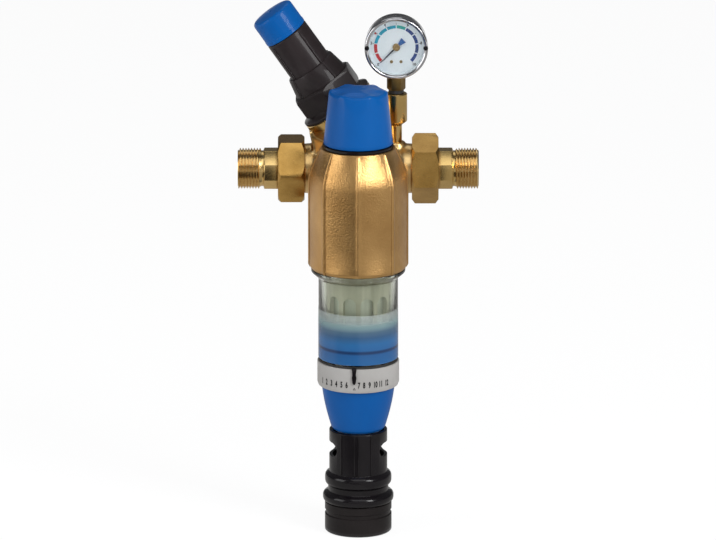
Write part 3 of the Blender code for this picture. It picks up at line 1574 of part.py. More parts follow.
def build_gauge():
    """The riser from the casting and the pressure gauge on it, with the tube and movement that drive the needle."""
    socket_radius = GAUGE_SHANK_RADIUS + SEAT_GAP
    turned(
        "gauge_riser",
        [
            (socket_radius, RISER_TOP),
            (RISER_RADIUS - 0.8 * MM, RISER_TOP),
            (RISER_RADIUS, RISER_TOP - 0.8 * MM),
            (RISER_RADIUS, RISER_BODY_START),
            (RISER_NECK_RADIUS, RISER_SHOULDER),
            (RISER_NECK_RADIUS, RISER_FOOT),
            (RISER_BORE, RISER_FOOT),
            (RISER_BORE, RISER_TOP - RISER_SOCKET_DEPTH - 1.5 * MM),
            (socket_radius, RISER_TOP - RISER_SOCKET_DEPTH),
        ],
        "brass",
        riser_axis,
        MEDIUM,
    )
    seal_bottom = RISER_TOP + SEAT_GAP
    seal_top = seal_bottom + GAUGE_SEAL_HEIGHT
    tube(
        "gauge_seal",
        GAUGE_SEAL_RADIUS,
        socket_radius,
        seal_top,
        seal_bottom,
        "brass",
        riser_axis,
        COARSE,
    )
    hex_bottom = seal_top + SEAT_GAP
    stem = rod(
        "gauge_stem",
        GAUGE_SHANK_RADIUS,
        GAUGE_SHANK_TOP,
        RISER_TOP - RISER_SOCKET_DEPTH + SEAT_GAP,
        "steel",
        riser_axis,
    )
    flats = prism(
        "gauge_stem_hex",
        6,
        corner_radius(GAUGE_HEX_FLATS),
        GAUGE_HEX_TOP,
        hex_bottom,
        None,
        riser_axis,
        math.radians(30),
    )
    bore = rod("gauge_stem_bore", RISER_BORE, GAUGE_SHANK_TOP - 3 * MM, 0.0, None, riser_axis, 10)
    join(stem, flats)
    cut(stem, bore)

    case = turned(
        "gauge_case",
        [
            (0.0, -GAUGE_BACK + GAUGE_CASE_WALL),
            (GAUGE_CASE_RADIUS - GAUGE_CASE_WALL - 1 * MM, -GAUGE_BACK + GAUGE_CASE_WALL),
            (GAUGE_CASE_RADIUS - GAUGE_CASE_WALL, -GAUGE_BACK + GAUGE_CASE_WALL + 1 * MM),
            (GAUGE_CASE_RADIUS - GAUGE_CASE_WALL, GAUGE_CASE_FRONT),
            (GAUGE_CASE_RADIUS, GAUGE_CASE_FRONT),
            (GAUGE_CASE_RADIUS, -GAUGE_BACK + 2 * MM),
            (GAUGE_CASE_RADIUS - 2 * MM, -GAUGE_BACK),
            (0.0, -GAUGE_BACK),
        ],
        "steel",
        gauge_axis,
        FINE,
    )
    entry = rod(
        "case_entry",
        GAUGE_SHANK_RADIUS + SEAT_GAP,
        GAUGE_SHANK_TOP,
        GAUGE_Z - GAUGE_CASE_RADIUS - 5 * MM,
        None,
        riser_axis,
    )
    cut(case, entry)
    window_back = BEZEL_FRONT - BEZEL_FACE - SEAT_GAP - WINDOW_THICKNESS
    bezel_bore = GAUGE_CASE_RADIUS + SEAT_GAP
    turned(
        "gauge_bezel",
        [
            (BEZEL_OPENING, BEZEL_FRONT - 0.9 * MM),
            (BEZEL_OPENING + 0.9 * MM, BEZEL_FRONT),
            (BEZEL_RADIUS - 1 * MM, BEZEL_FRONT),
            (BEZEL_RADIUS, BEZEL_FRONT - 1 * MM),
            (BEZEL_RADIUS, GAUGE_CASE_FRONT - 4 * MM),
            (bezel_bore, GAUGE_CASE_FRONT - 4 * MM),
            (bezel_bore, BEZEL_FRONT - BEZEL_FACE),
            (BEZEL_OPENING, BEZEL_FRONT - BEZEL_FACE),
        ],
        "chrome",
        gauge_axis,
        FINE,
    )
    rod(
        "gauge_window",
        GAUGE_CASE_RADIUS - 0.3 * MM,
        window_back + WINDOW_THICKNESS,
        window_back,
        "clear_glass",
        gauge_axis,
        FINE,
    )
    tube(
        "gauge_dial",
        GAUGE_CASE_RADIUS - GAUGE_CASE_WALL - SEAT_GAP,
        ARBOR_RADIUS + SEAT_GAP,
        DIAL_FRONT,
        DIAL_FRONT - DIAL_THICKNESS,
        "dial_white",
        gauge_axis,
        FINE,
    )
    needle_back = DIAL_FRONT + NEEDLE_GAP
    half = NEEDLE_WIDTH / 2
    tail_half = NEEDLE_TAIL_WIDTH / 2
    needle = plate(
        "gauge_needle",
        [
            (-half, -NEEDLE_HUB_RADIUS),
            (-tail_half, -NEEDLE_TAIL),
            (tail_half, -NEEDLE_TAIL),
            (half, -NEEDLE_HUB_RADIUS),
            (half, 0.0),
            (0.15 * MM, NEEDLE_LENGTH),
            (-0.15 * MM, NEEDLE_LENGTH),
            (-half, 0.0),
        ],
        NEEDLE_THICKNESS,
        "black_plastic",
        gauge_axis,
        (0.0, 0.0, needle_back + NEEDLE_THICKNESS / 2),
        (0.0, 0.0, NEEDLE_ZERO),
    )
    hub = rod(
        "needle_hub",
        NEEDLE_HUB_RADIUS,
        needle_back + NEEDLE_THICKNESS + 0.9 * MM,
        needle_back - 0.3 * MM,
        None,
        gauge_axis,
    )
    hub.rotation_euler.z = 0.05
    arbor = rod(
        "needle_arbor",
        ARBOR_RADIUS,
        needle_back + 0.2 * MM,
        DIAL_FRONT - DIAL_THICKNESS - 1.6 * MM,
        None,
        gauge_axis,
        8,
    )
    join(needle, hub, arbor)
    movement_front = DIAL_FRONT - DIAL_THICKNESS - SEAT_GAP
    movement = block(
        "gauge_movement",
        (MOVEMENT_WIDTH, MOVEMENT_HEIGHT, MOVEMENT_DEPTH),
        (0.0, 0.0, movement_front - MOVEMENT_DEPTH / 2),
        "brass",
        gauge_axis,
    )
    slot = block(
        "movement_slot",
        (MOVEMENT_WIDTH + 2 * CUT_PAST, MOVEMENT_HEIGHT - 6 * MM, MOVEMENT_DEPTH - 3 * MM),
        (3 * MM, 0.0, movement_front - MOVEMENT_DEPTH / 2),
        None,
        gauge_axis,
    )
    arbor_hole = rod(
        "movement_arbor_hole",
        ARBOR_RADIUS + SEAT_GAP,
        movement_front + CUT_PAST,
        movement_front - 2.5 * MM,
        None,
        gauge_axis,
        8,
    )
    cut(movement, slot, arbor_hole)
    foot = GAUGE_SHANK_RADIUS + SEAT_GAP + BOURDON_TUBE / 4
    start = math.radians(-90) + foot / BOURDON_RADIUS
    sweep = math.radians(250)
    points = []
    for step in range(15):
        angle = start + sweep * step / 14
        points.append((BOURDON_RADIUS * math.cos(angle), BOURDON_RADIUS * math.sin(angle), 0.0))
    bent_tube("bourdon_tube", points, BOURDON_TUBE / 2, "brass", gauge_axis, 1)


build_pipe_body()
build_union("inlet", inlet_axis, INLET_NUT_TURN)
build_union("outlet", outlet_axis, OUTLET_NUT_TURN)
build_check_valve()
build_bell()
build_wheel()
build_filter_element()
build_bowl()
build_month_ring()
build_drain()
build_reducer()
build_gauge()
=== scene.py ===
import math

import bmesh
import bpy
from mathutils import Matrix, Quaternion, Vector


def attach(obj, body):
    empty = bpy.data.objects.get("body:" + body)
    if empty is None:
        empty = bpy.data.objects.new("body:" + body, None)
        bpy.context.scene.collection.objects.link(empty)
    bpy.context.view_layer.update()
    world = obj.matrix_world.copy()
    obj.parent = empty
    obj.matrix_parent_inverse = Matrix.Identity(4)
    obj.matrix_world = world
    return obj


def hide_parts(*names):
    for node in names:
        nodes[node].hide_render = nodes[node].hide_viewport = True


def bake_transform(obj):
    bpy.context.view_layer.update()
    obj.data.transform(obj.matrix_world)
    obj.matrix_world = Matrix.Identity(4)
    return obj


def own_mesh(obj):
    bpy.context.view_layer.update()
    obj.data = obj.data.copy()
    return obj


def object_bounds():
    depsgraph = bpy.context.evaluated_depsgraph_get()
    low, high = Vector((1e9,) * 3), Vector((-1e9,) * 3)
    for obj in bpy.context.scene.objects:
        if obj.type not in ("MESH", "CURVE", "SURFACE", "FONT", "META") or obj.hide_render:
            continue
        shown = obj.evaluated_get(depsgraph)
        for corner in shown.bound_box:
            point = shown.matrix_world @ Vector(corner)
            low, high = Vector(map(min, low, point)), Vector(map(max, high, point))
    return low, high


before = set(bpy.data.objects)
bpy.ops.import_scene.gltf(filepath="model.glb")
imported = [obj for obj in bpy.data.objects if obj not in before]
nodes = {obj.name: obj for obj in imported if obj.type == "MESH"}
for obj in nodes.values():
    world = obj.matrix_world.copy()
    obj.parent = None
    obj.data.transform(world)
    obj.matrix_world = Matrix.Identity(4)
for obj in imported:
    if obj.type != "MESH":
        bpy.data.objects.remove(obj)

cad_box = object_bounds()

# Studio. The station floats over a pale floor, as it would hang on its pipes, and a long lens looks
# at it from a little above. Soft boxes stand right and left of it, over it and behind it. Cards,
# seen only as reflections, give the metal and the plastic their dark and light bands.
MM = 0.001
LOOK_AT = Vector((-0.0002, 0.0, -0.0862))
CAMERA_DISTANCE = 10.0
CAMERA_ELEVATION = math.radians(15.0)
FRAME_WIDTH = 0.5869


def tinted(tree, kind, **settings):
    """A shader-tree node of that kind with its plain settings and socket values."""
    node = tree.nodes.new(kind)
    for key, value in settings.items():
        if key in node.inputs:
            node.inputs[key].default_value = value
        else:
            setattr(node, key, value)
    return node


def bare_material(name):
    """A node material with nothing in its tree yet, and the tree."""
    material = bpy.data.materials.new(name)
    material.use_nodes = True
    material.node_tree.nodes.clear()
    return material, material.node_tree


def wired(tree, *links):
    """Joins sockets of a shader tree, each given as node, output, next node, input."""
    for source, output, target, socket in links:
        tree.links.new(source.outputs[output], target.inputs[socket])


def blank(add, name, scale, **place):
    """A primitive of size 1 at its place, stretched by the scale, with all of it in its mesh."""
    bpy.ops.object.select_all(action="DESELECT")
    add(size=1.0, **place)
    piece = bpy.context.object
    piece.name = name
    piece.scale = scale
    bpy.ops.object.transform_apply(location=True, rotation=True, scale=True)
    return piece


bpy.ops.object.select_all(action="DESELECT")
bpy.ops.mesh.primitive_grid_add(
    x_subdivisions=8, y_subdivisions=8, size=40.0, location=(0.0, 0.0, cad_box[0].z - 0.4 * MM)
)
floor = bpy.context.object
floor.name = "studio_floor"
floor_paint, tree = bare_material("studio_floor_paint")
diffuse = tinted(tree, "ShaderNodeBsdfDiffuse", Color=(0.93, 0.93, 0.93, 1.0))
glow = tinted(tree, "ShaderNodeEmission", Color=(1.0, 1.0, 1.0, 1.0), Strength=1.03)
rays = tinted(tree, "ShaderNodeLightPath")
either = tinted(tree, "ShaderNodeMath", operation="MAXIMUM")
seen = tinted(tree, "ShaderNodeMath", operation="MAXIMUM")
share = tinted(tree, "ShaderNodeMath", operation="MULTIPLY")
share.inputs[1].default_value = 0.88
mix = tinted(tree, "ShaderNodeMixShader")
out = tinted(tree, "ShaderNodeOutputMaterial")
wired(
    tree,
    (rays, "Is Camera Ray", either, 0), (rays, "Is Glossy Ray", either, 1), (either, 0, seen, 0),
    (rays, "Is Transmission Ray", seen, 1), (seen, 0, share, 0), (share, 0, mix, 0),
    (diffuse, 0, mix, 1), (glow, 0, mix, 2), (mix, 0, out, "Surface"),
)
floor.data.materials.append(floor_paint)


def reflected_card(name, width, depth, strength, **place):
    """A glowing sheet that shows in reflections alone."""
    sheet = blank(
        bpy.ops.mesh.primitive_grid_add,
        name,
        (width, depth, 1.0),
        x_subdivisions=4,
        y_subdivisions=4,
        **place,
    )
    paint, tree = bare_material(name + "_paint")
    tone = tinted(tree, "ShaderNodeEmission", Color=(1.0, 0.98, 0.95, 1.0), Strength=strength)
    out = tinted(tree, "ShaderNodeOutputMaterial")
    wired(tree, (tone, 0, out, "Surface"))
    sheet.data.materials.append(paint)
    sheet.visible_camera = False
    sheet.visible_diffuse = False
    sheet.visible_shadow = False
    sheet.visible_transmission = False


CARD_LEVEL = cad_box[0].z + 3.0 * MM
for name, low_x, high_x, low_y, high_y, strength in (
    ("left_card", -2.6, -0.78, -3.5, 1.2, 0.80),
    ("dark_card", -0.78, 0.03, -3.5, -0.28, 0.03),
    ("foot_card", -0.78, 0.03, -0.28, 1.2, 0.55),
    ("right_card", 0.03, 2.6, -3.5, 1.2, 0.44),
):
    middle = ((low_x + high_x) / 2, (low_y + high_y) / 2, CARD_LEVEL)
    reflected_card(name, high_x - low_x, high_y - low_y, strength, location=middle)
reflected_card(
    "front_card", 14.0, 4.0, 0.5, location=(0.0, -12.0, 1.6), rotation=(math.radians(90), 0.0, 0.0)
)

world = bpy.data.worlds.new("studio_air")
world.use_nodes = True
tree = world.node_tree
tree.nodes.clear()
rays = tinted(tree, "ShaderNodeLightPath")
seen = tinted(tree, "ShaderNodeMath", operation="MAXIMUM")
open_air = tinted(tree, "ShaderNodeBackground", Color=(1.0, 1.0, 1.0, 1.0), Strength=1.0)
fill = tinted(tree, "ShaderNodeBackground", Color=(0.95, 0.97, 1.0, 1.0), Strength=0.36)
dim_room = tinted(tree, "ShaderNodeBackground", Color=(0.95, 0.97, 1.0, 1.0), Strength=0.11)
mirrored = tinted(tree, "ShaderNodeMixShader")
mix = tinted(tree, "ShaderNodeMixShader")
out = tinted(tree, "ShaderNodeOutputWorld")
wired(
    tree,
    (rays, "Is Camera Ray", seen, 0), (rays, "Is Transmission Ray", seen, 1), (seen, 0, mix, 0),
    (rays, "Is Glossy Ray", mirrored, 0), (fill, 0, mirrored, 1), (dim_room, 0, mirrored, 2),
    (mirrored, 0, mix, 1), (open_air, 0, mix, 2), (mix, 0, out, "Surface"),
)
bpy.context.scene.world = world

for name, place, width, height, power in (
    ("right_soft_box", (1.15, -1.25, 0.95), 0.6, 1.1, 23.0),
    ("left_soft_box", (-1.6, -0.7, 0.5), 1.1, 1.2, 11.0),
    ("top_soft_box", (0.05, -1.1, 1.5), 1.3, 1.5, 8.4),
    ("back_soft_box", (-0.3, 1.3, 1.9), 1.6, 1.1, 5.0),
):
    bpy.ops.object.light_add(type="AREA", location=place)
    lamp = bpy.context.object
    lamp.name = name
    lamp.data.shape = "RECTANGLE"
    lamp.data.size = width
    lamp.data.size_y = height
    lamp.data.energy = power
    aim = Vector((0.0, -0.03, -0.08)) - Vector(place)
    lamp.rotation_euler = aim.to_track_quat("-Z", "Y").to_euler()

bpy.ops.object.camera_add()
camera = bpy.context.object
camera.name = "catalogue_camera"
back = Vector((0.0, -math.cos(CAMERA_ELEVATION), math.sin(CAMERA_ELEVATION)))
camera.location = LOOK_AT + back * CAMERA_DISTANCE
camera.rotation_euler = (-back).to_track_quat("-Z", "Y").to_euler()
camera.data.sensor_width = 36.0
camera.data.lens = 36.0 * CAMERA_DISTANCE / FRAME_WIDTH
bpy.context.scene.camera = camera
bpy.context.scene.view_settings.view_transform = "Standard"

# Pipe body. A brass casting: the straight run, the leaning branch of the reducer, the pad of
# the gauge riser and the neck to the bell. Its rim and its threaded ends are machined.
RUN_AXIS = Vector((1.0, 0.0, 0.0))
ORIGIN = Vector((0.0, 0.0, 0.0))
REDUCER_LEAN = math.radians(35.0)
REDUCER_AXIS = Vector((-math.sin(REDUCER_LEAN), 0.0, math.cos(REDUCER_LEAN)))
BRANCH_FOOT = Vector((20.8 * MM, 0.0, 0.0))
RIM_CENTRE = BRANCH_FOOT + REDUCER_AXIS * 65.8 * MM
RIM_RADIUS = 31.0 * MM


def rings_mm(*rings):
    """The (height, radius) of each ring of a turned form, written in millimetres."""
    return [(height * MM, radius * MM) for height, radius in rings]


def take(piece, *others):
    """Selects these pieces and nothing else, with the first one active."""
    bpy.ops.object.select_all(action="DESELECT")
    for other in others:
        other.select_set(True)
    piece.select_set(True)
    bpy.context.view_layer.objects.active = piece


def edit(piece, part="FACE"):
    """Opens one piece alone in edit mode with nothing selected."""
    take(piece)
    bpy.ops.object.mode_set(mode="EDIT")
    bpy.ops.mesh.select_mode(type=part)
    bpy.ops.mesh.select_all(action="DESELECT")


def close_edit():
    """Turns all faces outwards and goes back to object mode."""
    bpy.ops.mesh.select_all(action="SELECT")
    bpy.ops.mesh.normals_make_consistent(inside=False)
    bpy.ops.object.mode_set(mode="OBJECT")


def turned_form(name, foot, axis, rings, sides=96, hollow=False, turn=0.0):
    """A round form: a circle at its first ring, extruded and scaled to each next one.

    A ring is a (height, radius). A hollow form is closed from its last ring back to its first.
    """
    stand = ORIGIN.copy() + Vector(foot)
    rotation = Vector((0.0, 0.0, 1.0)).rotation_difference(axis) @ Quaternion((0.0, 0.0, 1.0), turn)
    height, radius = rings[0]
    bpy.ops.object.select_all(action="DESELECT")
    bpy.ops.mesh.primitive_circle_add(
        vertices=sides,
        radius=radius,
        fill_type="NOTHING" if hollow else "NGON",
        location=stand + axis * height,
        rotation=rotation.to_euler(),
    )
    piece = bpy.context.object
    piece.name = name
    piece.data.name = name
    bpy.ops.object.transform_apply(location=True, rotation=True, scale=True)
    bpy.ops.object.mode_set(mode="EDIT")
    bpy.ops.mesh.select_mode(type="EDGE" if hollow else "FACE")
    bpy.ops.mesh.select_all(action="SELECT")
    for next_height, next_radius in rings[1:]:
        step = axis * (next_height - height)
        bpy.ops.mesh.extrude_region_move(TRANSFORM_OT_translate={"value": step})
        grow = next_radius / radius
        if abs(grow - 1.0) > 1e-9:
            middle = stand + axis * next_height
            bpy.ops.transform.resize(value=(grow, grow, grow), center_override=middle)
        height, radius = next_height, next_radius
    if hollow:
        mesh = bmesh.from_edit_mesh(piece.data)
        for edge in mesh.edges:
            edge.select_set(edge.is_boundary)
        bmesh.update_edit_mesh(piece.data)
        bpy.ops.mesh.bridge_edge_loops()
    close_edit()
    return piece


def apply_modifier(piece, kind, **settings):
    """Adds one modifier with its settings and applies it at once."""
    take(piece)
    modifier = piece.modifiers.new("step", kind)
    for key, value in settings.items():
        setattr(modifier, key, value)
    bpy.ops.object.modifier_apply(modifier=modifier.name)


def soften(piece, width, segments=2, sharper_than=28.0):
    """Breaks the sharp edges as a file or a mould's radius does, then smooths the shading."""
    apply_modifier(
        piece,
        "BEVEL",
        width=width,
        segments=segments,
        limit_method="ANGLE",
        angle_limit=math.radians(sharper_than),
        harden_normals=False,
        use_clamp_overlap=True,
    )
    smooth(piece)


def smooth(piece, angle=32.0):
    """Shades a piece smooth but for the edges that are sharper than the angle."""
    take(piece)
    bpy.ops.object.shade_smooth_by_angle(angle=math.radians(angle))


def carve(piece, *cutters, operation="DIFFERENCE"):
    """Applies each cutter as a Boolean on the piece and removes the cutter."""
    for cutter in cutters:
        apply_modifier(piece, "BOOLEAN", operation=operation, solver="EXACT", object=cutter)
        bpy.data.objects.remove(cutter)


def merge(piece, *others):
    """Puts several pieces of one casting or moulding into one object."""
    take(piece, *others)
    bpy.ops.object.join()


def from_cad(node, name):
    """A merged copy of a CAD solid, to be worked on as a new piece."""
    piece = bpy.data.objects.new(name, nodes[node].data.copy())
    bpy.context.scene.collection.objects.link(piece)
    piece.data.name = name
    piece.data.materials.clear()
    edit(piece)
    bpy.ops.mesh.select_all(action="SELECT")
    bpy.ops.mesh.remove_doubles(threshold=0.00001)
    bpy.ops.mesh.tris_convert_to_quads()
    close_edit()
    return piece


def metal(name, light, dark, patch, rough, grain, depth, brushed=None):
    """A metal whose colour drifts in soft patches, with a fine grain and, if given, brush lines."""
    material, tree = bare_material(name)
    place = tinted(tree, "ShaderNodeTexCoord")
    drift = tinted(tree, "ShaderNodeTexNoise", Scale=patch, Detail=4.0, Roughness=0.55)
    ramp = tinted(tree, "ShaderNodeValToRGB")
    ramp.color_ramp.elements[0].position = 0.32
    ramp.color_ramp.elements[0].color = (*dark, 1.0)
    ramp.color_ramp.elements[1].position = 0.68
    ramp.color_ramp.elements[1].color = (*light, 1.0)
    stretch = tinted(tree, "ShaderNodeMapping")
    stretch.inputs["Scale"].default_value = brushed or (1.0, 1.0, 1.0)
    fine = tinted(tree, "ShaderNodeTexNoise", Scale=grain, Detail=3.0, Roughness=0.6)
    spread = tinted(tree, "ShaderNodeMapRange")
    spread.inputs["To Min"].default_value = rough[0]
    spread.inputs["To Max"].default_value = rough[1]
    relief = tinted(tree, "ShaderNodeBump", Strength=0.35, Distance=depth)
    skin = tinted(tree, "ShaderNodeBsdfPrincipled", Metallic=1.0)
    out = tinted(tree, "ShaderNodeOutputMaterial")
    wired(
        tree,
        (place, "Object", drift, "Vector"), (place, "Object", stretch, "Vector"),
        (stretch, 0, fine, "Vector"), (drift, "Fac", ramp, "Fac"),
        (ramp, "Color", skin, "Base Color"), (fine, "Fac", spread, "Value"),
        (spread, 0, skin, "Roughness"), (fine, "Fac", relief, "Height"),
        (relief, 0, skin, "Normal"), (skin, 0, out, "Surface"),
    )
    return material


def dress(piece, material, body, slot, *stands_for):
    """Gives a finished piece its material and its body, and hides the CAD nodes it stands for; the
    slot is not used.
    """
    if material is not None:
        piece.data.materials.clear()
        piece.data.materials.append(material)
    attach(piece, body)
    if stands_for:
        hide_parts(*stands_for)


def repaint(material, *names):
    """Gives the CAD nodes that stay as they are their own finish."""
    for name in names:
        mesh = nodes[name].data
        mesh.materials.clear()
        mesh.materials.append(material)


cast_brass = metal(
    "cast_brass", light=(0.78, 0.55, 0.25), dark=(0.60, 0.39, 0.15),
    patch=42.0, rough=(0.24, 0.38), grain=700.0, depth=0.00008,
)
turned_brass = metal(
    "turned_brass", light=(0.76, 0.535, 0.225), dark=(0.60, 0.395, 0.13),
    patch=30.0, rough=(0.16, 0.30), grain=260.0, depth=0.00006, brushed=(14.0, 1.0, 1.0),
)

body_casting = from_cad("pipe_body", "pipe_body_casting")
apply_modifier(body_casting, "REMESH", mode="VOXEL", voxel_size=0.95 * MM)
apply_modifier(body_casting, "SMOOTH", factor=0.5, iterations=14)
smooth(body_casting, 60.0)
dress(body_casting, cast_brass, "station", "brass", "pipe_body")
branch_rim = turned_form(
    "branch_rim", RIM_CENTRE, REDUCER_AXIS,
    [
        (-8.0 * MM, 27.7 * MM),
        (-7.6 * MM, 30.6 * MM),
        (-6.9 * MM, RIM_RADIUS),
        (-0.5 * MM, RIM_RADIUS),
        (0.0, RIM_RADIUS - 0.5 * MM),
        (0.0, 27.8 * MM),
        (-1.0 * MM, 27.7 * MM),
    ],
    hollow=True,
)
smooth(branch_rim)
dress(branch_rim, turned_brass, "station", "brass")

# Union tails. Turned brass sleeves with a parallel pipe thread, an octagon for the wrench and a
# collar that the union nut pulls against its flat gasket.
THREAD_PITCH = 2.309 * MM
THREAD_OUTER = 16.6 * MM
THREAD_ROOT = 15.1 * MM
THREAD_START = 80.0 * MM
RUN_END = 98.5 * MM
TAIL_BORE = 12.5 * MM
COLLAR_START = 58.6 * MM

tail = turned_form(
    "outlet_tail_turned", ORIGIN, RUN_AXIS,
    [
        (COLLAR_START, 14.0 * MM),
        (COLLAR_START, 20.1 * MM),
        (COLLAR_START + 2.4 * MM, 20.1 * MM),
        (COLLAR_START + 2.4 * MM, 15.8 * MM),
        (77.2 * MM, 15.8 * MM),
        (77.6 * MM, THREAD_ROOT - 0.4 * MM),
        (THREAD_START - 0.8 * MM, THREAD_ROOT - 0.4 * MM),
        (THREAD_START, THREAD_ROOT),
        (RUN_END - 0.9 * MM, THREAD_ROOT),
        (RUN_END, THREAD_ROOT - 0.6 * MM),
        (RUN_END, TAIL_BORE + 0.6 * MM),
        (RUN_END - 0.6 * MM, TAIL_BORE),
        (COLLAR_START, TAIL_BORE),
    ],
    hollow=True,
)
octagon = turned_form(
    "wrench_octagon", ORIGIN, RUN_AXIS,
    rings_mm((63.0, 17.2), (76.6, 17.2), (77.2, 16.4)),
    sides=8, turn=math.radians(22.5),
)
octagon_bore = turned_form(
    "octagon_bore", ORIGIN, RUN_AXIS, rings_mm((62.0, 15.0), (78.0, 15.0))
)
carve(octagon, octagon_bore)
soften(octagon, 0.5 * MM, 3)

thread = blank(
    bpy.ops.mesh.primitive_plane_add,
    "outlet_thread",
    (THREAD_PITCH * 0.92, THREAD_OUTER - THREAD_ROOT + 0.4 * MM, 1.0),
    location=(THREAD_START + 0.2 * MM, 0.0, (THREAD_ROOT + THREAD_OUTER) / 2 - 0.2 * MM),
    rotation=(math.radians(90), 0.0, 0.0),
)
edit(thread, "EDGE")
mesh = bmesh.from_edit_mesh(thread.data)
crest = max(mesh.edges, key=lambda edge: edge.verts[0].co.z + edge.verts[1].co.z)
crest.select_set(True)
bmesh.update_edit_mesh(thread.data)
crest_middle = (THREAD_START + 0.2 * MM, 0.0, THREAD_OUTER)
bpy.ops.transform.resize(value=(0.3, 1.0, 1.0), center_override=crest_middle)
bpy.ops.mesh.select_mode(type="FACE")
bpy.ops.mesh.select_all(action="SELECT")
bpy.ops.mesh.delete(type="ONLY_FACE")
bpy.ops.object.mode_set(mode="OBJECT")
apply_modifier(
    thread,
    "SCREW",
    axis="X",
    angle=math.radians(360),
    screw_offset=THREAD_PITCH,
    iterations=8,
    steps=56,
    render_steps=56,
    use_merge_vertices=False,
)
edit(thread, "EDGE")
bpy.ops.mesh.select_all(action="SELECT")
bpy.ops.mesh.fill_holes(sides=6)
bpy.ops.mesh.normals_make_consistent(inside=False)
bpy.ops.mesh.select_all(action="SELECT")
bpy.ops.mesh.bisect(
    plane_co=(RUN_END - 0.5 * MM, 0.0, 0.0),
    plane_no=(1.0, 0.0, 0.0),
    use_fill=True,
    clear_outer=True,
)
close_edit()
smooth(thread, 30.0)
smooth(tail, 30.0)
merge(tail, octagon, thread)


def twin(piece, name):
    """A copy of a piece, with a mesh of its own."""
    copy = piece.copy()
    copy.data = piece.data.copy()
    copy.name = name
    bpy.context.scene.collection.objects.link(copy)
    return copy


inlet_tail = twin(tail, "inlet_tail_turned")
edit(inlet_tail)
bpy.ops.mesh.select_all(action="SELECT")
bpy.ops.transform.rotate(
    value=math.radians(180), orient_axis="Z", center_override=(0.0, 0.0, 0.0)
)
bpy.ops.object.mode_set(mode="OBJECT")
dress(tail, turned_brass, "station", "brass", "outlet_tail")
dress(inlet_tail, turned_brass, "station", "brass", "inlet_tail")

# Union nuts. Hexagons of hot-stamped brass, turned to a cone at both ends. They run free on
# their tails and stand at whatever angle they were tightened to.
NUT_START = 43.9 * MM
NUT_END = 65.6 * MM
NUT_CORNER = 25.0 * MM / math.cos(math.radians(30))
stamped_brass = metal(
    "stamped_brass", light=(0.56, 0.34, 0.10), dark=(0.41, 0.235, 0.062),
    patch=55.0, rough=(0.22, 0.36), grain=420.0, depth=0.00008, brushed=(1.0, 7.0, 7.0),
)
for side, name, turn in ((1, "outlet", math.radians(19.0)), (-1, "inlet", 0.0)):
    near, far = sorted((side * NUT_START, side * NUT_END))
    nut = turned_form(
        name + "_union_hexagon", ORIGIN, RUN_AXIS,
        [(near, NUT_CORNER), (far, NUT_CORNER)],
        sides=6, turn=turn,
    )
    cone = turned_form(
        "nut_cone", ORIGIN, RUN_AXIS,
        [
            (near - 0.5 * MM, 25.2 * MM),
            (near, 25.6 * MM),
            (near + 2.6 * MM, 29.0 * MM),
            (far - 2.6 * MM, 29.0 * MM),
            (far, 25.6 * MM),
            (far + 0.5 * MM, 25.2 * MM),
        ],
    )
    carve(nut, cone, operation="INTERSECT")
    inner = NUT_START - 1.0 * MM
    lip = NUT_END - 4.0 * MM
    bore = turned_form(
        "nut_bore", ORIGIN, RUN_AXIS * side,
        [
            (inner, 21.6 * MM),
            (inner + 1.6 * MM, 20.8 * MM),
            (lip, 20.8 * MM),
            (lip, 17.5 * MM),
            (NUT_END + 1.0 * MM, 17.5 * MM),
        ],
    )
    carve(nut, bore)
    soften(nut, 0.45 * MM, 3)
    dress(nut, stamped_brass, name + "_union_nut", "nut_brass", name + "_nut")

# Inside the pipe run: flat fibre gaskets, the seal of the neck and the non-return valve, a
# moulded cartridge with a sprung poppet. They are only seen through the bores.
fibre = metal(
    "fibre", light=(0.030, 0.028, 0.026), dark=(0.018, 0.017, 0.016),
    patch=90.0, rough=(0.6, 0.8), grain=900.0, depth=0.0001,
)
fibre.node_tree.nodes["Principled BSDF"].inputs["Metallic"].default_value = 0.0
spring_steel = metal(
    "spring_steel", light=(0.62, 0.63, 0.64), dark=(0.48, 0.49, 0.50),
    patch=60.0, rough=(0.18, 0.3), grain=700.0, depth=0.00003,
)
repaint(
    fibre, "inlet_gasket", "outlet_gasket", "neck_seal", "bowl_seal", "spindle_seal", "gauge_seal",
    "diaphragm",
)
# The spring of the non-return valve, which shortens towards its fixed end as the poppet opens,
# is a smoothed copy of the CAD coil on the station, with a mesh of its own.
check_coil = from_cad("check_spring", "check_coil")
smooth(check_coil, 50.0)
dress(check_coil, spring_steel, "station", "steel", "check_spring")
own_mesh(check_coil)


def moulding(name, light, dark, patch, rough, grain, depth, coat=0.0):
    """A moulded plastic: one colour that drifts a little, with the mould's fine grain."""
    material = metal(name, light, dark, patch, rough, grain, depth)
    skin = material.node_tree.nodes["Principled BSDF"]
    skin.inputs["Metallic"].default_value = 0.0
    skin.inputs["Specular IOR Level"].default_value = 0.14
    skin.inputs["Coat Weight"].default_value = coat
    skin.inputs["Coat Roughness"].default_value = 0.07
    return material


valve_white = moulding(
    "valve_white", light=(0.78, 0.77, 0.72), dark=(0.68, 0.67, 0.62),
    patch=60.0, rough=(0.35, 0.5), grain=800.0, depth=0.00004,
)
repaint(valve_white, "check_cartridge", "check_poppet")

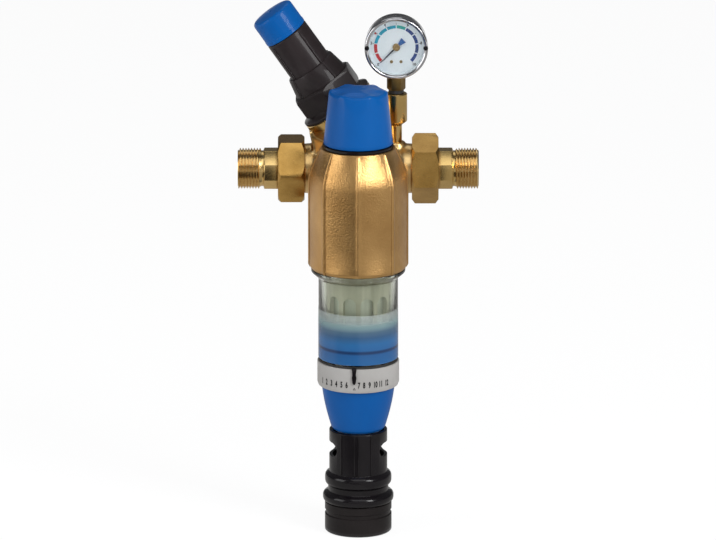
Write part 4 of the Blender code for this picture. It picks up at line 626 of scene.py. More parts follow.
# Filter bell. A sand-cast bronze bell with eight ribs, its panels a little flat between them,
# shot-blasted to a satin skin. A pad at its back is machined flat where it meets the neck.
FILTER_OUT = 58.0 * MM
FILTER_FOOT = Vector((0.0, -FILTER_OUT, 0.0))
UP = Vector((0.0, 0.0, 1.0))
FRONT = Vector((0.0, -1.0, 0.0))
PAD_FACE = -24.6 * MM
RIB_PROUD = 0.45 * MM
PANEL_FLATNESS = 0.036
cast_bronze = metal(
    "cast_bronze", light=(0.68, 0.41, 0.16), dark=(0.51, 0.285, 0.10),
    patch=26.0, rough=(0.27, 0.42), grain=620.0, depth=0.0009,
)
shoulder = [
    (31.6 * MM - 28.4 * MM * k / 14, 30.6 * MM + 9.4 * MM * math.sin(k / 14 * math.pi / 2) ** 1.15)
    for k in range(15)
]
bell = turned_form(
    "ribbed_bell", FILTER_FOOT, UP,
    rings_mm((24.0, 12.3), (33.0, 12.3), (33.0, 29.8), (32.6, 30.3))
    + shoulder
    + rings_mm(
        (-20.0, 40.0), (-42.0, 40.0), (-60.0, 40.0), (-65.0, 40.0), (-67.2, 38.9), (-68.0, 38.1),
        (-68.0, 35.2), (-39.0, 35.2), (-39.0, 31.0), (0.5, 31.0), (0.5, 26.0), (8.0, 26.0),
        (22.0, 19.0), (24.0, 12.4),
    ),
    sides=144, hollow=True,
)
edit(bell)
bell_mesh = bmesh.from_edit_mesh(bell.data)
for vert in bell_mesh.verts:
    arm = vert.co.xy - FILTER_FOOT.xy
    high = vert.co.z / MM
    skin_from = 35.6 * MM - max(high, 0.0) * 0.2 * MM
    if arm.length > 29.0 * MM and -66.0 < high < 33.5 and arm.length > skin_from:
        around = math.atan2(arm.x, -arm.y)
        fade = min(1.0, max(0.0, (31.0 - high) / 14.0)) * min(1.0, (high + 66.0) / 6.0)
        arm *= 1.0 - PANEL_FLATNESS * fade * abs(math.sin(4.0 * around))
        vert.co.x, vert.co.y = FILTER_FOOT.x + arm.x, FILTER_FOOT.y + arm.y
bmesh.update_edit_mesh(bell.data)


def on_rib(middle, normal):
    """True on the two facets of the bell's outer wall that each rib stands on."""
    arm = middle.xy - FILTER_FOOT.xy
    around = math.degrees(math.atan2(arm.x, -arm.y)) % 45.0
    outward = normal.x * arm.x + normal.y * arm.y > 0.2 * arm.length
    on_wall = -66.5 * MM < middle.z < 31.5 * MM and arm.length > 30.0 * MM
    return outward and on_wall and min(around, 45.0 - around) < 2.4


bell_mesh = bmesh.from_edit_mesh(bell.data)
for face in bell_mesh.faces:
    face.select_set(on_rib(face.calc_center_median(), face.normal))
bmesh.update_edit_mesh(bell.data)
bpy.ops.mesh.extrude_region_shrink_fatten(TRANSFORM_OT_shrink_fatten={"value": RIB_PROUD})
bpy.ops.mesh.select_mode(type="VERT")
bell_mesh = bmesh.from_edit_mesh(bell.data)
for vert in bell_mesh.verts:
    arm = vert.co.xy - FILTER_FOOT.xy
    around = math.degrees(math.atan2(arm.x, -arm.y)) % 45.0
    vert.select_set(vert.select and min(around, 45.0 - around) < 0.6)
bell_mesh.select_flush_mode()
bmesh.update_edit_mesh(bell.data)
bpy.ops.transform.shrink_fatten(value=RIB_PROUD)
close_edit()
pad = turned_form(
    "bell_pad", (-4.0 * MM, 0.0, 2.0 * MM), FRONT,
    rings_mm((24.7, 19.9), (24.7, 23.2), (25.3, 24.0), (38.0, 24.0), (38.0, 19.9)),
    hollow=True,
)
trim = turned_form(
    "bell_back_trim", (-4.0 * MM, 0.0, 2.0 * MM), Vector((0.0, 1.0, 0.0)),
    [(PAD_FACE, 38.0 * MM), (30.0 * MM, 38.0 * MM)],
)
carve(bell, trim)
soften(bell, 0.16 * MM, 2, 20.0)
smooth(pad)
merge(bell, pad)
dress(bell, cast_bronze, "station", "cast_bronze", "filter_bell")

# Spindle, gland and suction rotor. The wheel turns the brass spindle in its gland, and the
# rotor on the spindle sweeps the inside of the mesh while the drain is open.
repaint(turned_brass, "gland_bush", "spindle")
repaint(valve_white, "suction_rotor")

# Backwash wheel. Moulded in blue plastic, tapered, with six shallow grips pressed into its top
# edge; it runs on a black ring on the bell.
WHEEL_BOTTOM = 36.1 * MM
blue_moulding = moulding(
    "blue_moulding", light=(0.0005, 0.093, 0.345), dark=(0.002, 0.074, 0.285),
    patch=14.0, rough=(0.34, 0.44), grain=900.0, depth=0.00003, coat=0.13,
)
blue_moulding.node_tree.nodes["Principled BSDF"].inputs["Specular IOR Level"].default_value = 0.08
wheel_rings = [
    (WHEEL_BOTTOM, 27.2 * MM),
    (WHEEL_BOTTOM + 0.1 * MM, 27.8 * MM),
    (WHEEL_BOTTOM + 0.6 * MM, 28.2 * MM),
]
for step in range(1, 15):
    rise = step / 14
    wheel_rings.append((WHEEL_BOTTOM + (0.6 + 40.6 * rise) * MM, (28.2 - 4.15 * rise) * MM))
for step in range(1, 9):
    bend = math.pi / 2 * step / 8
    wheel_rings.append(((77.7 + 2.9 * math.sin(bend)) * MM, (21.1 + 2.9 * math.cos(bend)) * MM))
for radius in (19.6, 18.0, 16.4, 14.8, 13.0, 11.0, 8.0, 5.0, 2.0):
    wheel_rings.append(((82.1 - 1.5 * (radius / 21.1) ** 2) * MM, radius * MM))
wheel = turned_form("backwash_wheel", FILTER_FOOT, UP, wheel_rings, sides=120)


def pick_verts(piece, wanted):
    """Selects the corners whose place passes the test, in edit mode."""
    mesh = bmesh.from_edit_mesh(piece.data)
    for vert in mesh.verts:
        vert.select_set(wanted(vert.co))
    bmesh.update_edit_mesh(piece.data)


for index in range(6):
    angle = math.radians(-94.3 + 60 * index)
    out_way = Vector((math.cos(angle), math.sin(angle), 0.0))
    spot = FILTER_FOOT + out_way * 22.0 * MM + UP * 79.8 * MM
    edit(wheel, "VERT")
    pick_verts(wheel, lambda place: (place - spot).length < 3.6 * MM)
    bpy.ops.transform.translate(
        value=-out_way * 0.5 * MM - UP * 1.25 * MM,
        use_proportional_edit=True,
        proportional_edit_falloff="SMOOTH",
        proportional_size=8.5 * MM,
    )
    bpy.ops.object.mode_set(mode="OBJECT")
smooth(wheel, 50.0)
dress(wheel, blue_moulding, "wheel", "blue_plastic", "handwheel")

gloss_black = moulding(
    "gloss_black", light=(0.0075, 0.0060, 0.0075), dark=(0.0045, 0.0035, 0.0045),
    patch=40.0, rough=(0.20, 0.30), grain=700.0, depth=0.00003, coat=0.34,
)
base_ring = turned_form(
    "wheel_running_ring", FILTER_FOOT, UP,
    rings_mm((33.3, 14.8), (33.3, 28.6), (33.7, 29.0), (35.3, 29.0), (35.7, 28.5), (35.7, 14.8)),
    hollow=True,
)
smooth(base_ring)
dress(base_ring, gloss_black, "station", "black_plastic", "wheel_base_ring")

# Filter element, seen through the bowl. A moulded head with a skirt holds the cage, which has
# twelve arched windows, and a sleeve of woven steel stands inside the cage.
skirt_plastic = moulding(
    "skirt_plastic", light=(0.72, 0.70, 0.57), dark=(0.52, 0.50, 0.40),
    patch=30.0, rough=(0.3, 0.45), grain=500.0, depth=0.00005,
)
skirt = turned_form(
    "cage_head_skirt", FILTER_FOOT, UP,
    rings_mm(
        (-54.0, 13.0), (0.2, 13.0), (0.2, 30.7), (-3.0, 30.7), (-6.0, 27.4), (-72.4, 27.4),
        (-73.0, 26.8), (-73.0, 25.5), (-65.8, 25.4),
    ),
    hollow=True,
)
smooth(skirt)
dress(skirt, skirt_plastic, "station", "white_plastic", "cage_head")
cage_white = moulding(
    "cage_white", light=(0.80, 0.80, 0.70), dark=(0.66, 0.66, 0.56),
    patch=40.0, rough=(0.3, 0.45), grain=600.0, depth=0.00004,
)
cage = turned_form(
    "windowed_cage", FILTER_FOOT, UP,
    rings_mm(
        (-66.0, 22.9), (-66.0, 25.2), (-73.4, 25.2), (-73.4, 27.0), (-134.0, 27.0), (-134.0, 8.0),
        (-131.8, 8.0), (-131.8, 22.9),
    ),
    sides=120, hollow=True,
)
ARCH_SPRING = -93.4
openings = []
for index in range(6):
    opening = turned_form(
        "window_arch", FILTER_FOOT + UP * ARCH_SPRING * MM, FRONT,
        rings_mm((-32.0, 5.2), (32.0, 5.2)),
        sides=32,
    )
    edit(opening, "VERT")
    pick_verts(opening, lambda place: place.z < (ARCH_SPRING - 0.1) * MM)
    bpy.ops.transform.translate(value=(0.0, 0.0, -31.0 * MM))
    close_edit()
    spin = Matrix.Rotation(math.radians(15 + 30 * index), 4, "Z")
    opening.data.transform(
        Matrix.Translation(FILTER_FOOT) @ spin @ Matrix.Translation(-FILTER_FOOT)
    )
    openings.append(opening)
carve(cage, *openings)
soften(cage, 0.3 * MM, 2, 40.0)
dress(cage, cage_white, "station", "white_plastic", "filter_cage")
woven_steel, tree = bare_material("woven_steel")
place = tinted(tree, "ShaderNodeTexCoord")
weft = tinted(tree, "ShaderNodeTexWave", Scale=420.0, Distortion=0.0, bands_direction="Z")
warp = tinted(tree, "ShaderNodeTexWave", Scale=420.0, Distortion=0.0, bands_direction="X")
cross = tinted(tree, "ShaderNodeMath", operation="MULTIPLY")
ramp = tinted(tree, "ShaderNodeValToRGB")
ramp.color_ramp.elements[0].color = (0.88, 0.94, 0.88, 1.0)
ramp.color_ramp.elements[1].color = (0.95, 0.99, 0.95, 1.0)
skin = tinted(tree, "ShaderNodeBsdfPrincipled", Metallic=0.25, Roughness=0.38)
out = tinted(tree, "ShaderNodeOutputMaterial")
wired(
    tree,
    (place, "Object", weft, "Vector"), (place, "Object", warp, "Vector"), (weft, "Fac", cross, 0),
    (warp, "Fac", cross, 1), (cross, 0, ramp, "Fac"), (ramp, "Color", skin, "Base Color"),
    (skin, 0, out, "Surface"),
)
sleeve = from_cad("filter_mesh", "woven_sleeve")
smooth(sleeve, 40.0)
dress(sleeve, woven_steel, "station", "steel", "filter_mesh")

# Bowl. Clear moulded plastic with a flange that the bell clamps, and a nozzle through its floor.
# The plug under the floor opens the drain when the wheel is turned.
clear_bowl, tree = bare_material("clear_bowl")
place = tinted(tree, "ShaderNodeTexCoord")
streak = tinted(tree, "ShaderNodeMapping")
streak.inputs["Scale"].default_value = (1.0, 1.0, 0.03)
flow = tinted(tree, "ShaderNodeTexNoise", Scale=160.0, Detail=2.0)
ramp = tinted(tree, "ShaderNodeValToRGB")
ramp.color_ramp.elements[0].position = 0.35
ramp.color_ramp.elements[0].color = (0.59, 0.61, 0.54, 1.0)
ramp.color_ramp.elements[1].position = 0.65
ramp.color_ramp.elements[1].color = (0.77, 0.79, 0.72, 1.0)
relief = tinted(tree, "ShaderNodeBump", Strength=0.25, Distance=0.0002)
skin = tinted(tree, "ShaderNodeBsdfPrincipled", Metallic=0.0, Roughness=0.09, IOR=1.49)
skin.inputs["Transmission Weight"].default_value = 1.0
out = tinted(tree, "ShaderNodeOutputMaterial")
wired(
    tree,
    (place, "Object", streak, "Vector"), (streak, 0, flow, "Vector"), (flow, "Fac", ramp, "Fac"),
    (flow, "Fac", relief, "Height"), (ramp, "Color", skin, "Base Color"),
    (relief, 0, skin, "Normal"), (skin, 0, out, "Surface"),
)
bowl = turned_form(
    "clear_bowl", FILTER_FOOT, UP,
    rings_mm(
        (-41.8, 29.2), (-41.8, 34.8), (-68.3, 34.8), (-68.3, 38.0), (-68.7, 38.4), (-70.4, 38.4),
        (-71.2, 37.8), (-74.8, 33.8), (-76.1, 32.4), (-143.2, 32.4), (-144.0, 31.6), (-144.0, 15.0),
        (-206.5, 15.0), (-206.5, 12.6), (-144.5, 12.6), (-144.5, 7.0), (-140.0, 7.0),
        (-140.0, 27.2), (-139.4, 28.6), (-138.0, 29.2),
    ),
    hollow=True,
)
smooth(bowl, 28.0)
dress(bowl, clear_bowl, "station", "clear_plastic", "bowl")
repaint(gloss_black, "drain_valve")

# Foot of the bowl. A thin film round the wall, whose blue fades out upwards, with no words on it,
# and a black ring under the edge of the floor, set in the gap there as painted shade.
film_blue, tree = bare_material("film_blue")
place = tinted(tree, "ShaderNodeTexCoord")
parts = tinted(tree, "ShaderNodeSeparateXYZ")
climb = tinted(tree, "ShaderNodeMapRange")
climb.inputs["From Min"].default_value = -0.143
climb.inputs["From Max"].default_value = -0.1005
ramp = tinted(tree, "ShaderNodeValToRGB")
ramp.color_ramp.elements[0].color = (0.016, 0.110, 0.300, 0.95)
ramp.color_ramp.elements[1].color = (0.56, 0.62, 0.60, 0.22)
for height, tone in (
    (0.205, (0.016, 0.095, 0.270, 0.95)),
    (0.235, (0.010, 0.038, 0.115, 0.95)),
    (0.265, (0.010, 0.038, 0.115, 0.95)),
    (0.295, (0.018, 0.110, 0.300, 0.95)),
    (0.41, (0.020, 0.125, 0.320, 0.94)),
    (0.55, (0.035, 0.100, 0.210, 0.92)),
    (0.65, (0.080, 0.150, 0.230, 0.80)),
    (0.76, (0.26, 0.40, 0.42, 0.55)),
    (0.87, (0.46, 0.54, 0.53, 0.34)),
):
    stop = ramp.color_ramp.elements.new(height)
    stop.color = tone
skin = tinted(tree, "ShaderNodeBsdfPrincipled", Metallic=0.0, Roughness=0.22)
out = tinted(tree, "ShaderNodeOutputMaterial")
wired(
    tree,
    (place, "Object", parts, 0), (parts, "Z", climb, "Value"), (climb, 0, ramp, "Fac"),
    (ramp, "Color", skin, "Base Color"), (ramp, "Alpha", skin, "Alpha"), (skin, 0, out, "Surface"),
)
film = turned_form(
    "bowl_film", FILTER_FOOT, UP,
    rings_mm((-101.0, 32.45), (-101.0, 32.6), (-142.8, 32.6), (-142.8, 32.45)),
    hollow=True,
)
smooth(film)
dress(film, film_blue, "station", "clear_plastic")
# A near-black ring in the gap between the bowl's edge and the month ring: painted shade for the
# shadowed groove there.
gap_shade_ring = turned_form(
    "bowl_foot_shade_ring", FILTER_FOOT, UP,
    rings_mm(
        (-144.1, 31.25), (-144.1, 32.3), (-145.7, 32.5), (-145.7, 31.6), (-146.6, 31.5),
        (-146.6, 31.25),
    ),
    hollow=True,
)
smooth(gap_shade_ring)
dress(gap_shade_ring, fibre, "station", "black_plastic")

# Month ring and its rider. The pale ring snaps on the funnel and carries the twelve months in
# raised black print; the black rider clips over its upper edge and points at the next one.
ring_grey = moulding(
    "ring_grey", light=(0.41, 0.398, 0.385), dark=(0.36, 0.348, 0.332),
    patch=36.0, rough=(0.38, 0.5), grain=900.0, depth=0.00004,
)
print_black = moulding(
    "print_black", light=(0.012, 0.012, 0.013), dark=(0.006, 0.006, 0.007),
    patch=90.0, rough=(0.4, 0.5), grain=900.0, depth=0.00001,
)
RING_RADIUS_IN_MM = 33.4
RING_RADIUS = RING_RADIUS_IN_MM * MM
ring = turned_form(
    "month_band", FILTER_FOOT, UP,
    [
        (-145.9 * MM, 31.8 * MM),
        (-145.9 * MM, 33.0 * MM),
        (-146.3 * MM, RING_RADIUS),
        (-163.4 * MM, RING_RADIUS),
        (-163.9 * MM, 33.3 * MM),
        (-165.9 * MM, 32.5 * MM),
        (-166.2 * MM, 32.1 * MM),
        (-166.2 * MM, 31.7 * MM),
        (-159.4 * MM, 31.7 * MM),
        (-158.7 * MM, 30.5 * MM),
        (-157.3 * MM, 30.5 * MM),
        (-156.6 * MM, 31.7 * MM),
    ],
    sides=128, hollow=True,
)
smooth(ring, 26.0)
dress(ring, ring_grey, "month_ring", "grey_plastic", "memory_ring")


def printed(name, words, size, material, thick=0.1 * MM, bold=0.028):
    """One number as flat raised print, lying at the origin with its middle there."""
    bpy.ops.object.select_all(action="DESELECT")
    bpy.ops.object.text_add()
    text = bpy.context.object
    text.data.body = words
    text.data.size = size
    text.data.extrude = thick
    text.data.align_x = "CENTER"
    text.data.align_y = "CENTER"
    text.data.offset = bold * size
    text.data.resolution_u = 4
    bpy.ops.object.convert(target="MESH")
    piece = bpy.context.object
    piece.name = name
    piece.data.name = name
    edit(piece)
    bpy.ops.mesh.select_all(action="SELECT")
    bpy.ops.mesh.remove_doubles(threshold=0.000001)
    bpy.ops.mesh.select_all(action="SELECT")
    bpy.ops.mesh.normals_make_consistent(inside=False)
    bpy.ops.object.mode_set(mode="OBJECT")
    piece.data.materials.clear()
    piece.data.materials.append(material)
    return piece


def lay_on_ring(piece, around, height, radius):
    """Stands a flat print up on the round wall of the filter, facing outwards."""
    stand = Matrix.Translation(FILTER_FOOT + UP * height)
    spin = Matrix.Rotation(around, 4, "Z")
    push = Matrix.Translation((0.0, -radius, 0.0))
    tip = Matrix.Rotation(math.radians(90), 4, "X")
    piece.data.transform(stand @ spin @ push @ tip)
    piece.data.update()


MONTH_X = (-28.9, -25.7, -21.8, -17.9, -13.7, -9.5, 0.6, 4.8, 9.3, 14.0, 18.3, 23.1)
months = []
for month, across in enumerate(MONTH_X):
    number = printed(
        f"month_{month + 1}", str(month + 1), 6.6 * MM, print_black, thick=0.06 * MM, bold=0.042
    )
    number.data.transform(Matrix.Diagonal((0.56, 1.0, 1.0, 1.0)))
    around = math.asin(across / RING_RADIUS_IN_MM)
    lay_on_ring(number, around, -159.4 * MM, RING_RADIUS + 0.02 * MM)
    months.append(number)
RIDER_TURN = math.radians(-5.6)
bpy.ops.object.select_all(action="DESELECT")
bpy.ops.mesh.primitive_circle_add(vertices=3, radius=1.4 * MM, fill_type="NGON")
start_mark = bpy.context.object
start_mark.name = "start_mark"
edit(start_mark)
bpy.ops.mesh.select_all(action="SELECT")
bpy.ops.mesh.inset(thickness=0.35 * MM)
bpy.ops.mesh.delete(type="FACE")
bpy.ops.mesh.select_all(action="SELECT")
bpy.ops.mesh.extrude_region_move(TRANSFORM_OT_translate={"value": (0.0, 0.0, 0.1 * MM)})
close_edit()
start_mark.data.materials.append(print_black)
lay_on_ring(start_mark, RIDER_TURN, -162.4 * MM, RING_RADIUS + 0.02 * MM)
merge(months[0], *months[1:], start_mark)
months[0].name = "month_print"
dress(months[0], None, "month_ring", "black_plastic")

rider = turned_form(
    "rider_blank", (0.0, 0.0, 0.0), UP,
    rings_mm((0.0, 1.0), (1.2, 1.0)),
    sides=4, turn=math.radians(45),
)
rider_half = 1.0 * MM / math.sqrt(2)
edit(rider)
bpy.ops.mesh.select_all(action="SELECT")
bpy.ops.transform.resize(
    value=(2.05 * MM / rider_half, 7.0 * MM / rider_half, 1.0), center_override=(0.0, 0.0, 0.0)
)
for across in (1.0 * MM, -0.8 * MM, -6.0 * MM):
    bpy.ops.mesh.select_all(action="SELECT")
    bpy.ops.mesh.bisect(plane_co=(0.0, across, 0.0), plane_no=(0.0, 1.0, 0.0))
for low, high, grow in (
    (0.5, 1.5, 0.66),
    (-1.3, -0.3, 0.94),
    (-6.5, -5.5, 0.62),
    (-7.5, -6.6, 0.1),
):
    bpy.ops.mesh.select_mode(type="VERT")
    bpy.ops.mesh.select_all(action="DESELECT")
    pick_verts(rider, lambda place: low * MM < place.y < high * MM)
    bpy.ops.transform.resize(value=(grow, 1.0, 1.0), center_override=(0.0, 0.0, 0.0))
close_edit()
soften(rider, 0.18 * MM, 2)
lay_on_ring(rider, RIDER_TURN, -151.4 * MM, RING_RADIUS + 0.3 * MM)
hook = turned_form(
    "rider_hook", (0.0, 0.0, 0.0), UP,
    rings_mm((-1.2, 1.2), (0.4, 1.2)),
    sides=4, turn=math.radians(45),
)
hook.data.transform(Matrix.Diagonal((2.0, 0.7, 1.0, 1.0)))
lay_on_ring(hook, RIDER_TURN, -145.05 * MM, RING_RADIUS + 0.5 * MM)
merge(rider, hook)
rider.name = "black_rider"
dress(rider, gloss_black, "rider", "black_plastic", "ring_pointer")

# Drain funnel. A blue moulding, a little bulged, that carries the month ring on its upper wall.
funnel_rings = rings_mm((-204.0, 15.3), (-204.0, 20.4), (-203.6, 20.9), (-202.2, 21.9))
for step in range(17):
    down = 1.0 - step / 16
    bulge = 0.9 * math.sin(math.pi * down)
    funnel_rings.append(((-166.7 - 35.0 * down) * MM, (29.9 - 7.7 * down + bulge) * MM))
funnel_rings += rings_mm(
    (-165.6, 31.2), (-159.8, 31.2), (-159.8, 30.1), (-156.2, 30.1), (-156.2, 31.2), (-144.7, 31.2),
    (-144.3, 30.8), (-144.3, 28.7), (-166.3, 28.7), (-170.3, 27.9), (-200.0, 19.2), (-201.0, 15.3),
)
funnel = turned_form("drain_funnel", FILTER_FOOT, UP, funnel_rings, sides=112, hollow=True)
smooth(funnel, 26.0)
dress(funnel, blue_moulding, "station", "blue_plastic", "drain_cone")

# Air gap. A glossy black tube with a round-ended window at each side, so that the drain can't be
# sucked back, fine upright ribs on its front and a bead at its foot.
collar = turned_form(
    "air_gap_tube", FILTER_FOOT, UP,
    rings_mm(
        (-204.3, 21.1), (-204.3, 23.3), (-204.8, 23.7), (-239.6, 23.7), (-240.3, 24.6),
        (-241.2, 26.2), (-242.6, 27.0), (-244.2, 27.2), (-247.4, 27.2), (-249.0, 26.8),
        (-250.3, 25.8), (-251.0, 24.7), (-251.0, 21.1),
    ),
    sides=112, hollow=True,
)
WINDOW_LEVEL = -219.9 * MM
WINDOW_SPAN = 20.4 * MM
front_end = turned_form(
    "window_front_end", (0.0, 0.0, WINDOW_LEVEL), RUN_AXIS,
    rings_mm((-30.0, 5.8), (30.0, 5.8)),
    sides=48,
)
front_end.location = (0.0, -FILTER_OUT - 10.2 * MM, 0.0)
bpy.ops.object.transform_apply(location=True, rotation=True, scale=True)
back_end = twin(front_end, "window_back_end")
back_end.data.transform(Matrix.Translation((0.0, WINDOW_SPAN, 0.0)))
middle_cut = blank(
    bpy.ops.mesh.primitive_cube_add,
    "window_middle",
    (60.0 * MM, WINDOW_SPAN, 11.6 * MM),
    location=(0.0, -FILTER_OUT, WINDOW_LEVEL),
)
carve(collar, front_end, back_end, middle_cut)
soften(collar, 0.3 * MM, 2, 34.0)
TUBE_RADIUS = 23.7
for across in (-13.8, -3.0, 0.4, 10.4):
    on_tube = -FILTER_OUT - math.sqrt(TUBE_RADIUS**2 - across**2) * MM + 0.1 * MM
    rib = blank(
        bpy.ops.mesh.primitive_cube_add,
        "air_gap_rib",
        (1.2 * MM, 1.6 * MM, 34.0 * MM),
        location=(across * MM, on_tube, -222.1 * MM),
        rotation=(0.0, 0.0, math.asin(across / TUBE_RADIUS)),
    )
    soften(rib, 0.4 * MM, 3)
    merge(collar, rib)
dress(collar, gloss_black, "station", "black_plastic", "air_gap_collar")

# Drain socket and sleeve. Two black mouldings pushed together on the air gap, with a thick bead
# and a shallow groove, for a plain drain pipe.
socket = turned_form(
    "drain_socket_moulding", FILTER_FOOT, UP,
    rings_mm(
        (-244.0, 17.9), (-244.0, 20.8), (-251.3, 20.8), (-251.3, 24.7), (-255.6, 24.7),
        (-256.4, 25.4), (-257.2, 27.2), (-258.2, 28.3), (-259.6, 28.9), (-262.2, 28.9),
        (-263.6, 28.5), (-264.6, 27.7), (-265.0, 26.6), (-265.0, 23.6), (-275.0, 23.6),
        (-275.0, 17.9),
    ),
    sides=112, hollow=True,
)
smooth(socket, 34.0)
dress(socket, gloss_black, "station", "black_plastic", "drain_socket")
satin_black = moulding(
    "satin_black", light=(0.015, 0.012, 0.012), dark=(0.010, 0.008, 0.008),
    patch=34.0, rough=(0.28, 0.40), grain=620.0, depth=0.00005, coat=0.12,
)
sleeve_end = turned_form(
    "drain_sleeve_moulding", FILTER_FOOT, UP,
    rings_mm(
        (-265.3, 23.9), (-265.3, 26.8), (-265.8, 27.3), (-271.6, 27.3), (-272.3, 26.4),
        (-275.0, 26.4), (-275.7, 27.3), (-289.0, 27.3), (-290.0, 26.4), (-290.0, 23.9),
    ),
    sides=112, hollow=True,
)
smooth(sleeve_end, 34.0)
dress(sleeve_end, satin_black, "station", "black_plastic", "drain_sleeve")

# Reducer bonnet. A black moulding screwed on the branch rim: lip, hexagon for a strap wrench,
# waist and barrel with four raised ribs. The spring and its plate are inside.
bonnet_black = moulding(
    "bonnet_black", light=(0.022, 0.016, 0.017), dark=(0.013, 0.010, 0.010),
    patch=30.0, rough=(0.36, 0.50), grain=900.0, depth=0.00012, coat=0.14,
)
bonnet = turned_form(
    "bonnet_moulding", RIM_CENTRE, REDUCER_AXIS,
    rings_mm(
        (0.3, 21.9), (0.3, 30.5), (0.8, 31.0), (2.6, 31.0), (3.1, 30.5), (4.2, 27.2), (7.0, 24.6),
        (23.5, 24.0), (38.6, 21.0), (39.3, 20.6), (39.7, 18.5), (72.2, 18.4), (73.0, 17.6),
        (73.0, 4.4), (64.0, 4.4), (62.0, 15.2), (12.0, 15.2), (6.0, 21.9),
    ),
    sides=112, hollow=True,
)
soften(bonnet, 0.25 * MM, 2, 30.0)
bonnet_hex = turned_form(
    "bonnet_hexagon", RIM_CENTRE, REDUCER_AXIS,
    rings_mm((6.0, 29.16), (23.5, 29.16)),
    sides=6,
)
hex_cone = turned_form(
    "hex_cone", RIM_CENTRE, REDUCER_AXIS,
    rings_mm((5.0, 26.2), (9.0, 30.2), (20.5, 30.2), (24.5, 25.2)),
)
carve(bonnet_hex, hex_cone, operation="INTERSECT")
hex_room = turned_form(
    "hex_room", RIM_CENTRE, REDUCER_AXIS, rings_mm((4.0, 23.2), (25.0, 23.2))
)
carve(bonnet_hex, hex_room)
soften(bonnet_hex, 0.7 * MM, 3)
merge(bonnet, bonnet_hex)
BESIDE = Vector((math.cos(REDUCER_LEAN), 0.0, math.sin(REDUCER_LEAN)))
for index in range(4):
    around = math.radians(-52 + 90 * index)
    outward = BESIDE * math.cos(around) + Vector((0.0, 1.0, 0.0)) * math.sin(around)
    rib = turned_form(
        "bonnet_rib", (0.0, 0.0, 0.0), UP,
        rings_mm((27.0, 1.25), (40.0, 1.25), (69.0, 1.25), (70.0, 0.7)),
        sides=16,
    )
    turn_to = UP.rotation_difference(REDUCER_AXIS).to_matrix().to_4x4()
    rib.data.transform(Matrix.Translation(RIM_CENTRE + outward * (18.5 * MM)) @ turn_to)
    smooth(rib, 40.0)
    waist_rib = turned_form(
        "bonnet_waist_rib",
        RIM_CENTRE + outward * 24.3 * MM,
        REDUCER_AXIS,
        rings_mm((21.5, 1.2), (39.2, 1.2), (39.8, 0.7)),
        sides=16,
    )
    edit(waist_rib, "VERT")
    pick_verts(waist_rib, lambda place: (place - RIM_CENTRE).dot(REDUCER_AXIS) > 30.0 * MM)
    bpy.ops.transform.translate(value=-outward * 3.3 * MM)
    close_edit()
    smooth(waist_rib, 40.0)
    merge(bonnet, rib, waist_rib)
dress(bonnet, bonnet_black, "station", "black_plastic", "bonnet")
repaint(turned_brass, "adjusting_screw", "reducer_stem", "reducer_cartridge", "diaphragm_plate")
repaint(spring_steel, "spring_plate", "stem_nut")

# Main spring, inside the bonnet, cut at its middle into a lower and an upper half, which stand in
# for the CAD spring.
coil_heights = [vert.co.dot(REDUCER_AXIS) for vert in nodes["main_spring"].data.vertices]
coil_low, coil_high = min(coil_heights), max(coil_heights)
coil_foot, coil_middle, coil_top = (
    BRANCH_FOOT + REDUCER_AXIS * (height - BRANCH_FOOT.dot(REDUCER_AXIS))
    for height in (coil_low, (coil_low + coil_high) / 2, coil_high)
)
for name, before, after, start, end in (
    ("main_coil_low", "reducing_valve", "station", coil_foot, coil_middle),
    ("main_coil_high", "station", "spring_seat", coil_middle, coil_top),
):
    coil = from_cad("main_spring", name)
    edit(coil)
    bpy.ops.mesh.select_all(action="SELECT")
    bpy.ops.mesh.bisect(
        plane_co=coil_middle,
        plane_no=REDUCER_AXIS,
        use_fill=True,
        clear_outer=name == "main_coil_low",
        clear_inner=name == "main_coil_high",
    )
    close_edit()
    smooth(coil, 50.0)
    coil.data.materials.clear()
    coil.data.materials.append(spring_steel)
    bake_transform(coil)
    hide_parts("main_spring")

# Adjusting cap. A blue moulded cap on the top of the bonnet that turns the adjusting screw; a
# fine bead runs round its foot and its top is slightly crowned.
cap_rings = rings_mm(
    (73.3, 16.3), (73.3, 18.1), (73.7, 18.5), (76.2, 18.5), (76.5, 18.25), (91.3, 18.2),
)
for step in range(1, 7):
    bend = math.pi / 2 * step / 6
    cap_rings.append(((91.6 + 3.0 * math.sin(bend)) * MM, (15.2 + 3.0 * math.cos(bend)) * MM))
cap_rings += rings_mm((95.2, 10.0), (95.5, 5.0), (95.6, 1.0), (93.0, 1.0), (92.0, 16.3))
cap = turned_form(
    "adjusting_cap_moulding", RIM_CENTRE, REDUCER_AXIS, cap_rings, sides=112, hollow=True
)
smooth(cap, 34.0)
dress(cap, blue_moulding, "cap", "blue_plastic", "adjusting_cap")

# Gauge riser and stem. A turned brass riser screwed in the pad of the casting, with the gauge's
# own stem, its dark hexagon and its seal, screwed in the top.
RISER_FOOT = Vector((31.0 * MM, 0.0, 0.0))
riser = turned_form(
    "gauge_riser_turned", RISER_FOOT, UP,
    rings_mm(
        (15.5, 4.7), (36.6, 4.75), (37.6, 5.4), (38.9, 7.2), (39.9, 8.5), (40.9, 9.0), (62.9, 9.0),
        (63.6, 8.3), (63.6, 5.1), (54.6, 5.1), (53.1, 1.8), (15.5, 1.8),
    ),
    hollow=True,
)
smooth(riser, 30.0)
dress(riser, turned_brass, "station", "brass", "gauge_riser")
stem = turned_form(
    "gauge_stem_turned", RISER_FOOT, UP,
    rings_mm(
        (54.9, 4.3), (55.4, 4.8), (66.4, 4.8), (66.6, 6.2), (68.2, 6.2), (68.2, 4.8), (91.0, 4.8),
        (91.5, 4.3),
    ),
)
smooth(stem, 30.0)
stem_hex = turned_form(
    "gauge_stem_hexagon", RISER_FOOT, UP,
    rings_mm((66.9, 7.62), (78.0, 7.62)),
    sides=6, turn=math.radians(30),
)
